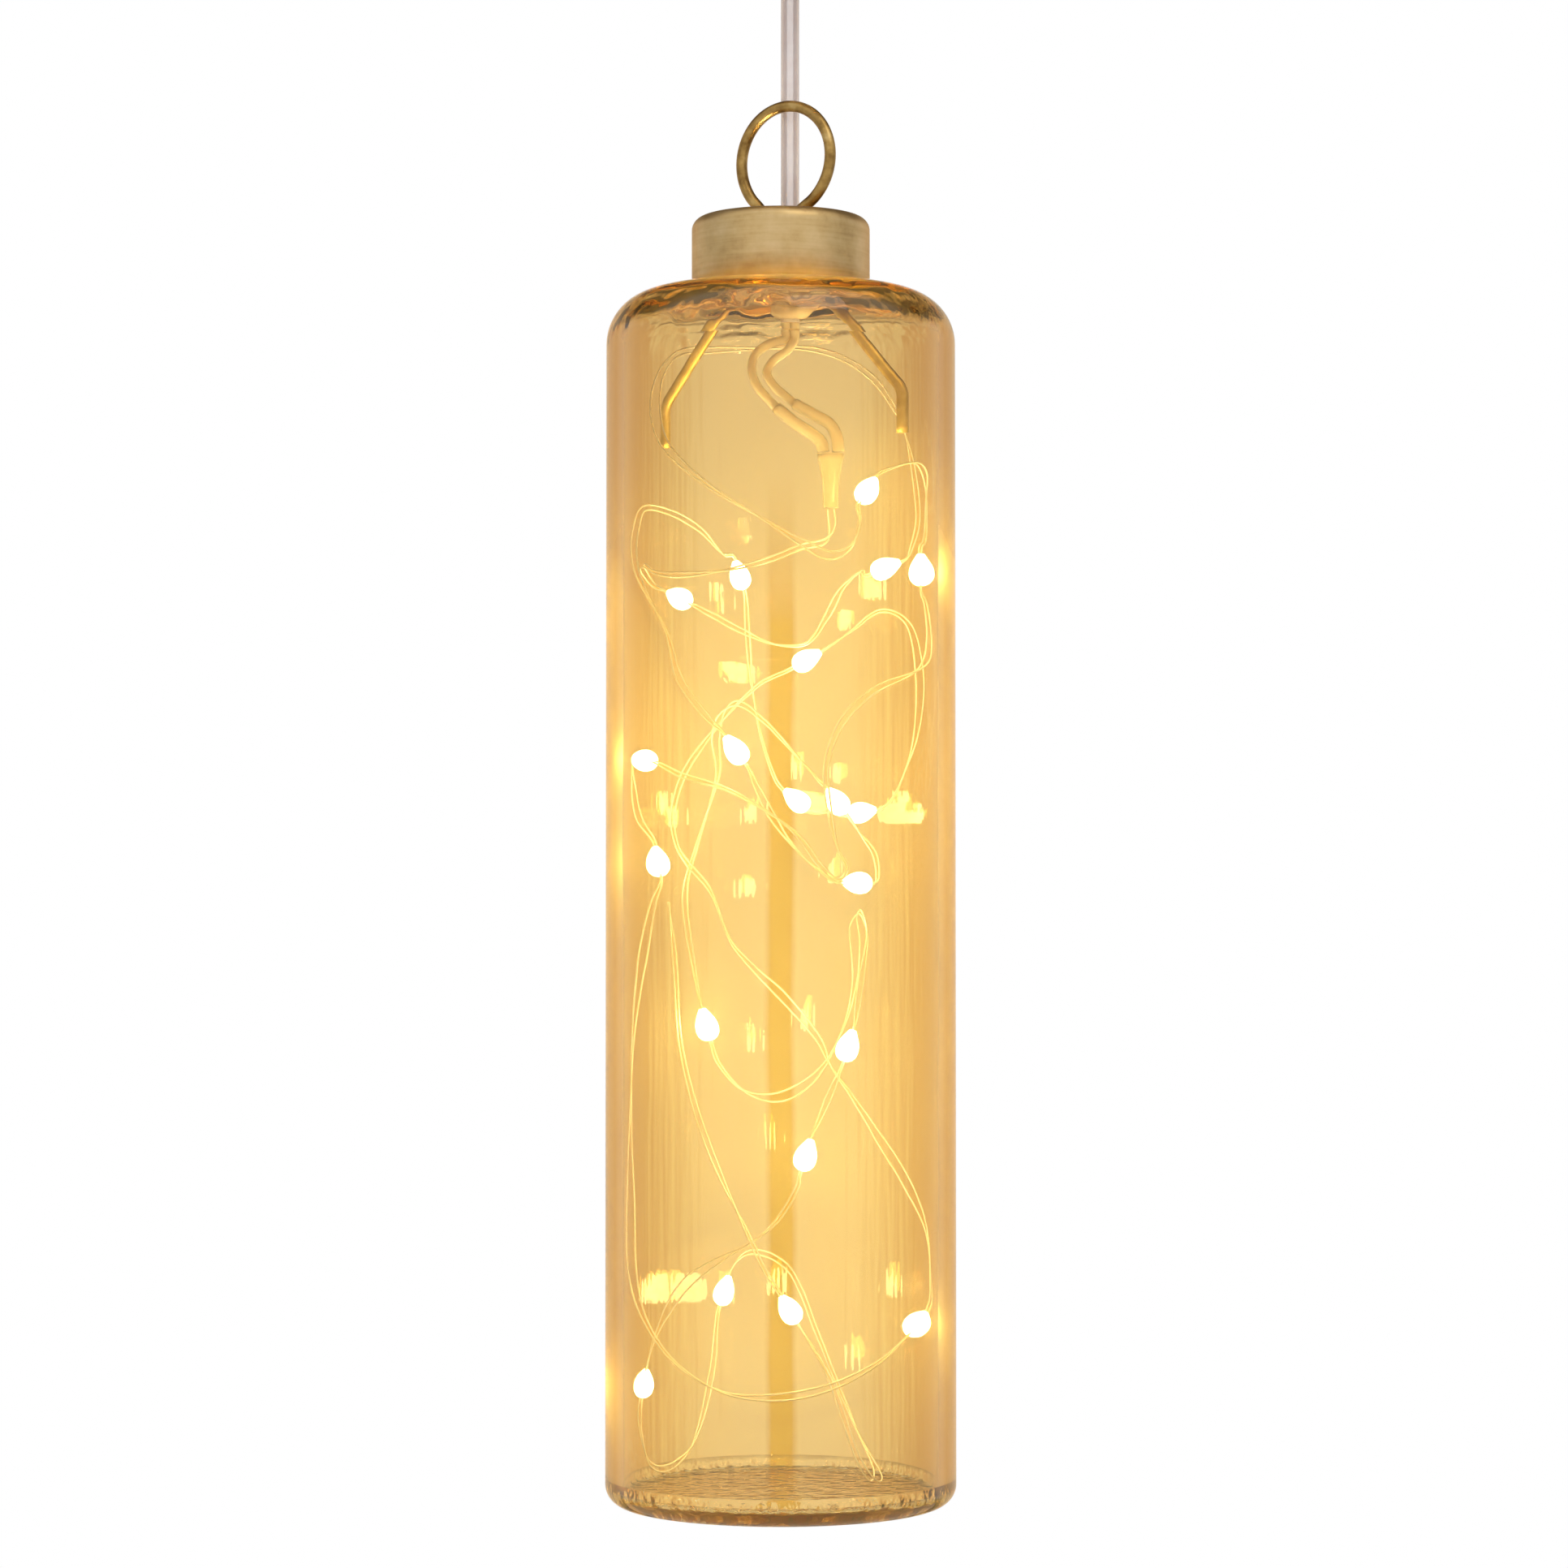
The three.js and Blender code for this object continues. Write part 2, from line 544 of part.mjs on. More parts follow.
function glassCylinder() {
  const insideShoulder = Math.max(SHOULDER_ROUND - GLASS_WALL, SEAT);
  const insideBase = Math.max(BASE_ROUND - GLASS_WALL, SEAT);
  const profile = [
    at(0, glassBase),
    ...arc(glassRadius - BASE_ROUND, glassBase + BASE_ROUND, BASE_ROUND, -90, 0),
    ...arc(glassRadius - SHOULDER_ROUND, shoulderTop - SHOULDER_ROUND, SHOULDER_ROUND, 0, 90),
    at(neckRadius, shoulderTop),
    ...arc(neckRadius - NECK_RIM_ROUND, neckRim - NECK_RIM_ROUND, NECK_RIM_ROUND, 0, 90),
    ...arc(neckBore + NECK_RIM_ROUND, neckRim - NECK_RIM_ROUND, NECK_RIM_ROUND, 90, 180),
    ...arc(neckBore + NECK_EDGE_ROUND, edgeHeight, NECK_EDGE_ROUND, 180, 270),
    ...arc(boreRadius - insideShoulder, shoulderUnder - insideShoulder, insideShoulder, 90, 0),
    ...arc(boreRadius - insideBase, glassFloor + insideBase, insideBase, 0, -90),
    at(0, glassFloor),
  ];
  return piece('glass_cylinder', turned(profile, ROUND_SIDES), 0xe0a850, 0.05, 0);
}

// Wiring inside the glass, with heights from the glass floor

function inGlass([x, y, height]) {
  return [x * routeSpread, y * routeSpread, height * routeStretch];
}

function cores() {
  const start = leadEnd - SEAT - glassFloor;
  return CORE_ROUTES.map((points, index) => {
    const x = leadX + conductorPlaces()[index];
    const curve = route([[x, leadY, start], [x, leadY, start - CORE], ...points.map(inGlass)]);
    return clearPlastic(`core_${index + 1}`, tube(curve, polygon(CORE / 2, CORD_SIDES), 16));
  });
}

// Each sleeve takes up where its core ends, one seat further along.
function coreSleeves() {
  return CORE_SLEEVE_ROUTES.map((points, index) => {
    const end = new THREE.Vector3(...inGlass(CORE_ROUTES[index].at(-1)));
    const places = points.map(inGlass);
    const next = new THREE.Vector3(...places[0]);
    const start = end.clone().addScaledVector(next.sub(end).normalize(), SEAT);
    const curve = route([start.toArray(), ...places]);
    return clearPlastic(`core_sleeve_${index + 1}`, tube(curve, polygon(CORE_SLEEVE / 2, CORD_SIDES), 6));
  });
}

function jointSleeve() {
  const profile = [
    at(0, -JOINT_SLEEVE_LENGTH),
    at(JOINT_SLEEVE_END / 2, -JOINT_SLEEVE_LENGTH),
    at(JOINT_SLEEVE_END / 2, -JOINT_SLEEVE_LENGTH / 2),
    at(JOINT_SLEEVE_TOP / 2, 0),
    at(0, 0),
  ];
  const sleeve = turned(profile, SMALL_SIDES).scale(1, JOINT_SLEEVE_FLATNESS, 1);
  return clearPlastic('joint_sleeve', sleeve.translate(...inGlass(JOINT_SLEEVE_PLACE)));
}

function stringSection() {
  const shape = new THREE.Shape();
  shape.moveTo(STRING_WIDTH / 2, 0);
  shape.lineTo(STRING_WIDTH / 4, STRING_THICKNESS / 2);
  shape.lineTo(-STRING_WIDTH / 4, STRING_THICKNESS / 2);
  shape.lineTo(-STRING_WIDTH / 2, 0);
  shape.lineTo(-STRING_WIDTH / 4, -STRING_THICKNESS / 2);
  shape.lineTo(STRING_WIDTH / 4, -STRING_THICKNESS / 2);
  return shape;
}

// The string's least gap to itself, on points, leaving out what lies along the same bend.
function leastGap(curve) {
  const points = curve.getSpacedPoints(2 * STRING_STEPS);
  const spacing = curve.getLength() / (2 * STRING_STEPS);
  const skip = Math.ceil(4 * STRING_WIDTH / spacing);
  let least = Infinity;
  for (let first = 0; first < points.length; first += 1) {
    for (let second = first + skip; second < points.length; second += 1) {
      least = Math.min(least, points[first].distanceTo(points[second]));
    }
  }
  return least - STRING_WIDTH;
}

function drop(name, place, direction) {
  const bore = STRING_WIDTH / 2 + DROP_FIT;
  const profile = arc(0, 0, 1, -90, 90).map((point) => at(
    bore + (DROP_DIAMETER / 2 - bore) * point.x, DROP_LENGTH / 2 * point.y));
  const mesh = piece(name, ring(profile, DROP_SIDES), 0xfff2d0, 0.15, 0);
  mesh.position.copy(place);
  mesh.quaternion.setFromUnitVectors(new THREE.Vector3(0, 0, 1), direction);
  return mesh;
}

// The string runs straight through each drop, so its route gets a point at both of the drop's mouths.
function stringRoute() {
  const stops = STRING_STRETCHES.slice(0, -1).map((stretch) => stretch.at(-1));
  const flat = STRING_STRETCHES.flat();
  const places = flat.map((place) => new THREE.Vector3(...inGlass(place)));
  const points = [];
  const drops = [];
  places.forEach((place, index) => {
    if (!stops.includes(flat[index])) {
      points.push(place);
      return;
    }
    const direction = places[index + 1].clone().sub(places[index - 1]).normalize();
    for (const side of [-1, 0, 1]) {
      points.push(place.clone().addScaledVector(direction, side * DROP_MOUTH));
    }
    drops.push({ place, direction });
  });
  return { curve: new THREE.CatmullRomCurve3(points), drops };
}

function fairyString() {
  const { curve, drops } = stringRoute();
  const group = new THREE.Group();
  group.add(clearPlastic('fairy_string', tube(curve, stringSection(), STRING_STEPS)));
  drops.forEach(({ place, direction }, index) => {
    group.add(drop(`led_drop_${String(index + 1).padStart(2, '0')}`, place, direction));
  });
  const length = curve.getLength().toFixed(0);
  console.log(`string ${length} mm long, least gap to itself ${leastGap(curve).toFixed(2)} mm`);
  return group;
}

function wiring() {
  const group = new THREE.Group();
  group.add(...cores(), ...coreSleeves(), jointSleeve(), fairyString());
  group.position.z = glassFloor;
  return group;
}

// The whole light

const pendant = new THREE.Group();
pendant.add(leadPieces(), cap(), hanger(), glassCylinder(), wiring());
pendant.position.set(-leadX, -leadY, gripMouth - FREE_LEAD);

const light = new THREE.Group();
light.add(ceilingFitting(), pendant);

export default light;
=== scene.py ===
# %% [markdown]
# # A hanging glass light
# A tinted glass cylinder hangs from a brass cap, and a string of lit resin drops is tucked inside
# it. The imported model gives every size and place. This script dresses it: round pieces are turned
# again with finer sides, wires are swept along their routes, and each surface gets a material of
# its own. Blender counts in metres, so MM turns the maker's millimetres into them.

# %% The frame
import math

import bmesh
import bpy
from mathutils import Matrix, Vector


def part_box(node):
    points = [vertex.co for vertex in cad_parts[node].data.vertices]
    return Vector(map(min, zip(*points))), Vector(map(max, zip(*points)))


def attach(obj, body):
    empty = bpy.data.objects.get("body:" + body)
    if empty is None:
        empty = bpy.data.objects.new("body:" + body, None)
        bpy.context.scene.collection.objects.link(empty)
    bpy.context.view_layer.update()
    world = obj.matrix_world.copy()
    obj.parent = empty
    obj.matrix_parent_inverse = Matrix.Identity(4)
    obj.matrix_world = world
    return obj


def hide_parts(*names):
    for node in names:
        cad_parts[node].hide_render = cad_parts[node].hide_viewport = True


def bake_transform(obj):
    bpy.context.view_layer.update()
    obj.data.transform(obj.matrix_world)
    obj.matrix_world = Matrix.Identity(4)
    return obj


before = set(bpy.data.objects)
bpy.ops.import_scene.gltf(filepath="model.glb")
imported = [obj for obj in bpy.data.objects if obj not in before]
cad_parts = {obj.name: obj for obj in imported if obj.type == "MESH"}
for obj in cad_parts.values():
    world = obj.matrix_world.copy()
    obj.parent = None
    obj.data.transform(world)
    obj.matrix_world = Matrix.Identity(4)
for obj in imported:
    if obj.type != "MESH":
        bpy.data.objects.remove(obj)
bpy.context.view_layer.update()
MM = 0.001
GLASS_BASE = 2.8 * MM

cap_low, cap_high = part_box("cap")
axis = (Vector(cap_low) + Vector(cap_high)) / 2
cap_top = cap_high[2]
glass_low, glass_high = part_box("glass_cylinder")
glass_floor = glass_low[2] + GLASS_BASE
print("axis", [round(v / MM, 2) for v in axis], "cap top", round(cap_top / MM, 2))

# %% [markdown]
# ## Camera
# The photo was taken with a long lens at the height of the glass's middle. The camera could be
# placed by trial, but the photo's own pixels give it: it stands 780 mm in front of the axis and
# looks up by less than two degrees.

# %% Camera
CAMERA_DISTANCE = 780 * MM
CAMERA_HEIGHT = 108.3 * MM
FOCAL_PIXELS = 5171
IMAGE_PIXELS = 1932
EYE_ROW = 1113
AXIS_COLUMN = 962

camera = bpy.data.objects.new("camera", bpy.data.cameras.new("camera"))
bpy.context.scene.collection.objects.link(camera)
beside = (IMAGE_PIXELS / 2 - AXIS_COLUMN) / FOCAL_PIXELS * CAMERA_DISTANCE
camera.location = (axis.x + beside, axis.y - CAMERA_DISTANCE, glass_floor + CAMERA_HEIGHT)
tilt = math.atan((EYE_ROW - IMAGE_PIXELS / 2) / FOCAL_PIXELS)
camera.rotation_euler = (math.pi / 2 + tilt, 0, 0)
camera.data.sensor_fit = "HORIZONTAL"
camera.data.angle = 2 * math.atan(IMAGE_PIXELS / 2 / FOCAL_PIXELS)
camera.data.clip_start = 10 * MM
bpy.context.scene.camera = camera
bpy.context.scene.view_settings.view_transform = "Standard"
print("camera looks up by", round(math.degrees(tilt), 2), "degrees")

# %% [markdown]
# ## Turning and sweeping
# Two ways of making a solid cover almost the whole light. A lathe spins a profile about an upright
# line, as glass and caps are spun. A sweep carries a section along a route, as wire is drawn. The
# sweep turns its section with the route and never flips it, so a flat cord doesn't twist. A curve
# with a bevel could sweep too, but here the section may change on its way.

# %% Turning and sweeping
SAME_POINT = 0.0001 * MM


def finished(name, bm):
    mesh = bpy.data.meshes.new(name)
    bmesh.ops.recalc_face_normals(bm, faces=bm.faces)
    for face in bm.faces:
        face.smooth = True
    bm.to_mesh(mesh)
    bm.free()
    obj = bpy.data.objects.new(name, mesh)
    bpy.context.scene.collection.objects.link(obj)
    return obj


def arc(x, z, radius, start, end, steps=8):
    angles = [math.radians(start + (end - start) * step / steps) for step in range(steps + 1)]
    return [(x + radius * math.cos(a), z + radius * math.sin(a)) for a in angles]


def spun(bm, profile, sides, closed, place=(0, 0, 0)):
    corners = [bm.verts.new((radius, 0, height)) for radius, height in profile]
    pairs = list(zip(corners, corners[1:]))
    if closed:
        pairs.append((corners[-1], corners[0]))
    edges = [bm.edges.new(pair) for pair in pairs]
    bmesh.ops.spin(bm, geom=corners + edges, cent=(0, 0, 0), axis=(0, 0, 1),
                   angle=2 * math.pi, steps=sides, use_merge=True)
    bmesh.ops.remove_doubles(bm, verts=bm.verts, dist=SAME_POINT)
    bmesh.ops.translate(bm, verts=bm.verts, vec=place)


def lathe(name, profile, sides, closed=False, place=(0, 0, 0)):
    bm = bmesh.new()
    spun(bm, profile, sides, closed, place)
    return finished(name, bm)


def circle(radius, sides):
    return [(radius * math.cos(2 * math.pi * s / sides), radius * math.sin(2 * math.pi * s / sides))
            for s in range(sides)]


def swept(bm, route, section_at, side=Vector((1, 0, 0))):
    rings = []
    for index, point in enumerate(route):
        before = route[max(index - 1, 0)]
        after = route[min(index + 1, len(route) - 1)]
        along = (after - before).normalized()
        side = (side - along * side.dot(along)).normalized()
        up = along.cross(side)
        section = section_at(index)
        rings.append([bm.verts.new(point + side * u + up * v) for u, v in section])
    for near, far in zip(rings, rings[1:]):
        for k in range(len(near)):
            j = (k + 1) % len(near)
            bm.faces.new((near[k], near[j], far[j], far[k]))
    bm.faces.new(rings[0])
    bm.faces.new(rings[-1])


def sweep(name, route, section):
    bm = bmesh.new()
    swept(bm, route, lambda index: section)
    return finished(name, bm)


# %% [markdown]
# ## Smooth routes
# A wire's route is a short list of points. A curve object would need handles at every point. A
# centripetal spline needs none, passes through all of them without loops or overshoot, and is the
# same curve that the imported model's wires follow.

# %% Smooth routes
def smooth_route(points, steps):
    points = [Vector(p) for p in points]
    points = [points[0] * 2 - points[1], *points, points[-1] * 2 - points[-2]]
    route = []
    for a, b, c, d in zip(points, points[1:], points[2:], points[3:]):
        da, db, dc = math.sqrt((b - a).length), math.sqrt((c - b).length), math.sqrt((d - c).length)
        leave = ((b - a) / da - (c - a) / (da + db) + (c - b) / db) * db
        arrive = ((c - b) / db - (d - b) / (db + dc) + (d - c) / dc) * db
        for step in range(steps):
            t = step / steps
            route.append(b * (2 * t**3 - 3 * t**2 + 1) + leave * (t**3 - 2 * t**2 + t)
                         + c * (-2 * t**3 + 3 * t**2) + arrive * (t**3 - t**2))
    return [*route, points[-2]]


def length_of(route):
    return sum((b - a).length for a, b in zip(route, route[1:]))


def inside_glass(point):
    """A point given as right, away and above the glass floor, in millimetres."""
    x, y, h = point
    return Vector((axis.x + x * MM, axis.y + y * MM, glass_floor + h * MM))


# %% [markdown]
# ## The lead
# The light hangs on a flat clear twin flex: two round cores side by side in one skin, each with a
# strand of fine copper. Every fine wire could be modelled, but one section with six lobes that
# turns as it goes shows as much. Skin and strands have many rings, because they bend under the grip
# when the light swings.

# %% The lead
CORE = 1.7 * MM
STRAND = 0.5 * MM
STRAND_TWIST = 0.5
STRAND_LOBES = 6
LOBE_DEPTH = 0.16
LEAD_STEPS = 90

lead_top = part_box("lead_tail")[1][2]
lead_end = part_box("lead")[0][2]
lead_route = [Vector((0, 0, lead_top + (lead_end - lead_top) * k / LEAD_STEPS))
              for k in range(LEAD_STEPS + 1)]
half = CORE / 2
skin = arc(half, 0, half, -90, 90) + arc(-half, 0, half, 90, 270)

lead = sweep("lead_flex", lead_route, skin)
lobes = []
for x, y in circle(STRAND / 2, 4 * STRAND_LOBES):
    swell = 1 + LOBE_DEPTH * math.cos(STRAND_LOBES * math.atan2(y, x))
    lobes.append(Vector((x * swell, y * swell)))
bm = bmesh.new()
for side in (-1, 1):
    turn = [Matrix.Rotation(side * k * STRAND_TWIST, 2) for k in range(len(lead_route))]
    route = [p + Vector((side * half, 0, 0)) for p in lead_route]
    swept(bm, route, lambda index: [turn[index] @ lobe for lobe in lobes])
strands = finished("lead_strands", bm)

for piece in (lead, strands):
    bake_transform(piece)
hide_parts("lead", "lead_tail")
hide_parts("lead_conductor_1", "lead_conductor_2")
length_of(lead_route)
print("lead", round(length_of(lead_route) / MM, 1), "mm")

# %% [markdown]
# ## The string of drops
# The string is two fine lacquered wires side by side that twist slowly round each other, pushed
# into the glass in loose loops. A simulation could let it fall in, but not as it lies in the photo,
# so its points are listed one by one. They are the stretches from drop to drop, in the imported model's
# own order, and the wires run straight through each drop.

# %% The string's route
STRING_STRETCHES = [
    [(9.2, -5, 181), (9.4, -6.2, 177.5), (8, -12, 174.5), (3.5, -17, 173), (-2, -21, 170.5),
     (-9.5, -22, 168.5), (-17, -18, 168), (-22.5, -9, 169), (-25.5, -1, 171), (-26.5, 5, 170.5),
     (-24.5, 6, 168), (-19, -1, 165)],
    [(-13.5, -4, 162), (-6.5, 0, 158.5), (-0.5, 4, 156.5), (5, 6, 157), (8.5, 5, 161.5),
     (11.5, 2, 167), (15, 0, 170), (19.5, -2, 170.5)],
    [(24.5, 2, 174), (26.5, 7, 180.5), (26, 9.5, 189), (24, 12, 198), (19, 16, 207),
     (13, 20, 212), (5.5, 22, 214.5), (-5.5, 22, 214.5), (-14.5, 17, 213.5), (-19.5, 9, 212),
     (-22.5, 1, 207), (-23, -6, 199.5), (-20.5, -12, 192), (-12.5, -18, 184), (-3.5, -22, 178),
     (3.5, -24, 173.5), (9, -23, 171), (12.5, -21, 173), (14, -19, 178), (15.5, -17, 183.5)],
    [(20, -12, 188), (25, -6, 189.5), (27, -2, 187), (27, -3, 181), (26, -7, 175),
     (25, -10, 169.5)],
    [(26, -8, 163.5), (27, -6, 157), (25, -11, 151.5), (16, -19, 146.5), (10.5, -23, 140.5),
     (8, -25, 133), (8.5, -25, 125), (10, -24, 118), (11.5, -23, 114.5), (10, -23, 112.5),
     (7, -23.5, 115), (3, -24.5, 120.5), (-3.5, -25.5, 125.5), (-10, -24, 129),
     (-17.5, -18.5, 131.5), (-24.5, -10, 134.5)],
    [(-27.5, -3, 133.5), (-27.8, 0.5, 129.5), (-26, -4, 124), (-22, -11, 116)],
    [(-22.5, -13, 108.5), (-25, -10, 95.5), (-27, -6, 80.5), (-28, -2, 65.5), (-28, -2, 53.5),
     (-27, -6, 41.5), (-24, -12, 32.5), (-18, -19, 25), (-9.5, -24, 20.5), (-0.5, -26, 20),
     (8, -25, 21.5), (17, -20, 25.5), (24, -13, 32)],
    [(27.5, -5, 37), (27.5, 1, 47.5), (24.5, 5, 55), (18.5, 6, 64.5), (13.5, 4, 72), (9, 0, 78.5),
     (7, -3, 83), (0.5, -8, 91), (-5, -13, 96.5), (-9, -16, 101.5), (-12.5, -17, 110.5),
     (-16.5, -15, 115.5), (-19, -8, 119.5), (-20, 0, 125.5), (-18, 5, 133), (-12, 9, 141.5),
     (-4, 10, 149.5), (5, 8, 154)],
    [(13, 6, 159), (19, 6, 163), (24.5, 9, 161), (27, 8, 151.5), (26.5, 9, 141), (24.5, 13, 133.5),
     (21.5, 16, 127.5), (16, 19, 125.5)],
    [(10, 22, 125.5), (3, 23, 128)],
    [(-2.5, 24, 135.5), (-5.5, 22, 148), (-6.5, 19, 160), (-8, 15, 170.5)],
    [(-11, 10, 174), (-15, 5, 178), (-20.5, 1, 181), (-25.5, -2, 181.5), (-27, -3, 177),
     (-26, -9, 170.5), (-23.5, -14, 164.5), (-20, -18, 157.5), (-17.5, -21, 148.5),
     (-12.5, -23, 141.5), (-8, -23, 136)],
    [(-4.5, -21, 130), (-1.5, -20, 124), (1.5, -19.5, 119.5), (7, -18, 114), (13.5, -15, 112)],
    [(17.5, -10, 113.5), (17, -7, 117.5), (14.5, -8, 121), (10, -12, 127)],
    [(7, -14, 130.5), (3, -15, 135), (-3.5, -13, 142), (-8, -9, 145), (-11, -5, 143),
     (-12, -3, 138.5), (-11.5, -4, 133), (-12.5, -6, 128), (-15, -9, 119.5), (-17, -12, 111.5),
     (-17, -14, 107), (-15, -19, 95), (-13, -22, 86.5)],
    [(-11, -20, 79.5), (-6.5, -13, 74), (0, -4, 72.5), (7, 5, 76.5), (12, 10, 85), (14, 9, 93),
     (14, 4, 100), (13.5, -3, 105), (14.5, -9, 106.5), (15.5, -13, 102.5), (14.5, -15, 95),
     (13.5, -16, 88.5), (12, -17, 82.5)],
    [(9.5, -18, 75.5), (6.5, -20, 68.5), (4.5, -21.5, 63)],
    [(3, -23, 57.5), (-0.5, -24, 51.5), (-5, -24, 47.5), (-11, -21, 44), (-17, -15, 39),
     (-22.5, -6, 29.5), (-25.5, 0, 19.5)],
    [(-27, 5, 11), (-25.5, 11, 3), (-22, 16, 1.5), (-17.5, 20, 5), (-13.5, 22, 19), (-11, 21, 34.5)],
    [(-6, 18, 42), (1, 17, 39.5), (7.5, 18, 25.5), (14.5, 17, 9), (18.5, 10, 1.6), (17, 1, 1.4),
     (14, -4, 6.5), (9, -8, 21), (1.5, -14, 34.5)],
    [(-2.5, -16, 41), (-6, -15, 48.5), (-10.5, -14, 58), (-14.5, -16, 69), (-17.5, -19, 82.5),
     (-18.5, -19, 97.5), (-19.5, -20, 108.5)],
]
DROP_MOUTH = 4.2 * MM
STRING_STEPS = 7

places = [inside_glass(p) for stretch in STRING_STRETCHES for p in stretch]
drops = []
string_points = []
last = -1
stops = set()
for stretch in STRING_STRETCHES[:-1]:
    last += len(stretch)
    stops.add(last)
for index, place in enumerate(places):
    if index not in stops:
        string_points.append(place)
        continue
    along = (places[index + 1] - places[index - 1]).normalized()
    string_points += [place + along * (side * DROP_MOUTH) for side in (-1, 0, 1)]
    drops.append((place, along))
string_route = smooth_route(string_points, STRING_STEPS)
print("string", round(length_of(string_route) / MM), "mm,", len(drops), "drops")

# %% [markdown]
# The two wires meet in each drop and part a little between drops, as they do on a string that has
# been wound up and pulled straight again. So both follow one route, and their sections circle it,
# closely at a drop and further out between drops.

# %% The two wires
WIRE_RADIUS = 0.18 * MM
WIRES_CLOSE = 0.24 * MM
WIRES_APART = 0.9 * MM
PARTING_START = 4 * MM
PARTING_LENGTH = 14 * MM
TWIST = 0.1
SWAY = 0.35
SWAY_TURN = 0.21
FINE_SIDES = 6

nearest_drop = [min((point - place).length for place, along in drops) for point in string_route]


def wire_section(index, start):
    opening = min(max((nearest_drop[index] - PARTING_START) / PARTING_LENGTH, 0), 1)
    opening *= 1 - SWAY + SWAY * math.sin(index * SWAY_TURN)
    reach = WIRES_CLOSE + (WIRES_APART - WIRES_CLOSE) * opening
    turn = index * TWIST + start
    return [(u + reach * math.cos(turn), v + reach * math.sin(turn))
            for u, v in circle(WIRE_RADIUS, FINE_SIDES)]


bm = bmesh.new()
for start in (0, math.pi):
    swept(bm, string_route, lambda index: wire_section(index, start))
string = finished("string_wires", bm)
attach(string, "pendant")
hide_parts("fairy_string")
print("wires", len(string.data.polygons), "faces")

# %% [markdown]
# A drop is a bead of resin that ran down the wires before it set, so one end is full and the other
# draws out to a point. The points all look up, whichever way the wire runs. A sphere could be
# pulled to this form, but a spun profile has the form in its numbers and serves every drop.

# %% The drops
DROP_PROFILE = [(0, -3), (0.75, -2.9), (1.4, -2.5), (1.85, -1.8), (2, -0.9), (1.92, 0), (1.65, 0.9),
                (1.25, 1.7), (0.85, 2.4), (0.6, 2.85), (0, 3)]
DROP_SIDES = 20
bm = bmesh.new()
for place, along in drops:
    part = bmesh.new()
    spun(part, [(r * MM, z * MM) for r, z in DROP_PROFILE], DROP_SIDES, False)
    tip = along if along.z > 0 else -along
    turn = Vector((0, 0, 1)).rotation_difference(tip).to_matrix().to_4x4()
    part.transform(Matrix.Translation(place) @ turn)
    mesh = bpy.data.meshes.new("drop")
    part.to_mesh(mesh)
    part.free()
    bm.from_mesh(mesh)
    bpy.data.meshes.remove(mesh)
resin = finished("led_resin", bm)
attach(resin, "pendant")
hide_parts(*[f"led_drop_{k + 1:02d}" for k in range(len(drops))])
length_of(string_route)
print(len(drops), "drops,", len(resin.data.polygons), "faces")

# %% [markdown]
# ## Cores and sleeves
# Under the cap the lead parts into its two cores. A clear shrink sleeve covers each core's solder
# joint. All four are short bent tubes, so they are swept like the wires, and each sleeve starts
# where its core ends.

# %% Cores and sleeves
CORE_ROUTES = [
    [(-2.2, 1, 212.6), (-4.8, 0, 210.3), (-5.4, -1.5, 207.4), (-4.2, -2.6, 204), (-1, -3.6, 200.3)],
    [(1.2, 1.6, 211.4), (-1.4, 1, 209.4), (-2.6, -0.2, 206.9), (-1.2, -1.4, 204.4), (2.4, -2.8, 201)],
]
SLEEVE_ROUTES = [
    [(2.6, -4.6, 197.2), (5.8, -5, 195), (7.5, -5, 193.4), (7.8, -5, 191.7)],
    [(6, -4, 198.8), (9.1, -4.8, 196.8), (10.4, -5, 194.2), (10.6, -5, 191.7)],
]
SEAT = 0.3 * MM
SLEEVE_RADIUS = 1.15 * MM
CORE_SIDES = 14
CORE_STEPS = 6

core_top = lead_end - SEAT
cores = []
sleeves = []
for number, side in ((1, -1), (2, 1)):
    start = Vector((side * half, 0, core_top))
    points = [start, start - Vector((0, 0, CORE))]
    points += [inside_glass(p) for p in CORE_ROUTES[number - 1]]
    route = smooth_route(points, CORE_STEPS)
    core = sweep(f"core_skin_{number}", route, circle(CORE / 2, CORE_SIDES))
    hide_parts(f"core_{number}")
    cores.append(core)

    first = inside_glass(SLEEVE_ROUTES[number - 1][0])
    toward = (first - points[-1]).normalized()
    points = [points[-1] + toward * SEAT]
    points += [inside_glass(p) for p in SLEEVE_ROUTES[number - 1]]
    route = smooth_route(points, CORE_STEPS)
    sleeve = sweep(f"solder_sleeve_{number}", route, circle(SLEEVE_RADIUS, CORE_SIDES))
    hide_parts(f"core_sleeve_{number}")
    sleeves.append(sleeve)
print(len(cores), "cores and", len(sleeves), "sleeves")

# %% [markdown]
# ## The gathering sleeve and the glue
# One wider sleeve gathers both joints where the string begins. It has shrunk flat round the two at
# its top and narrow at its lower end. A blob of hot glue holds the lead under the cap. Both could
# be sculpted, but at their size a turned profile is enough, and the sleeve is flattened afterwards.

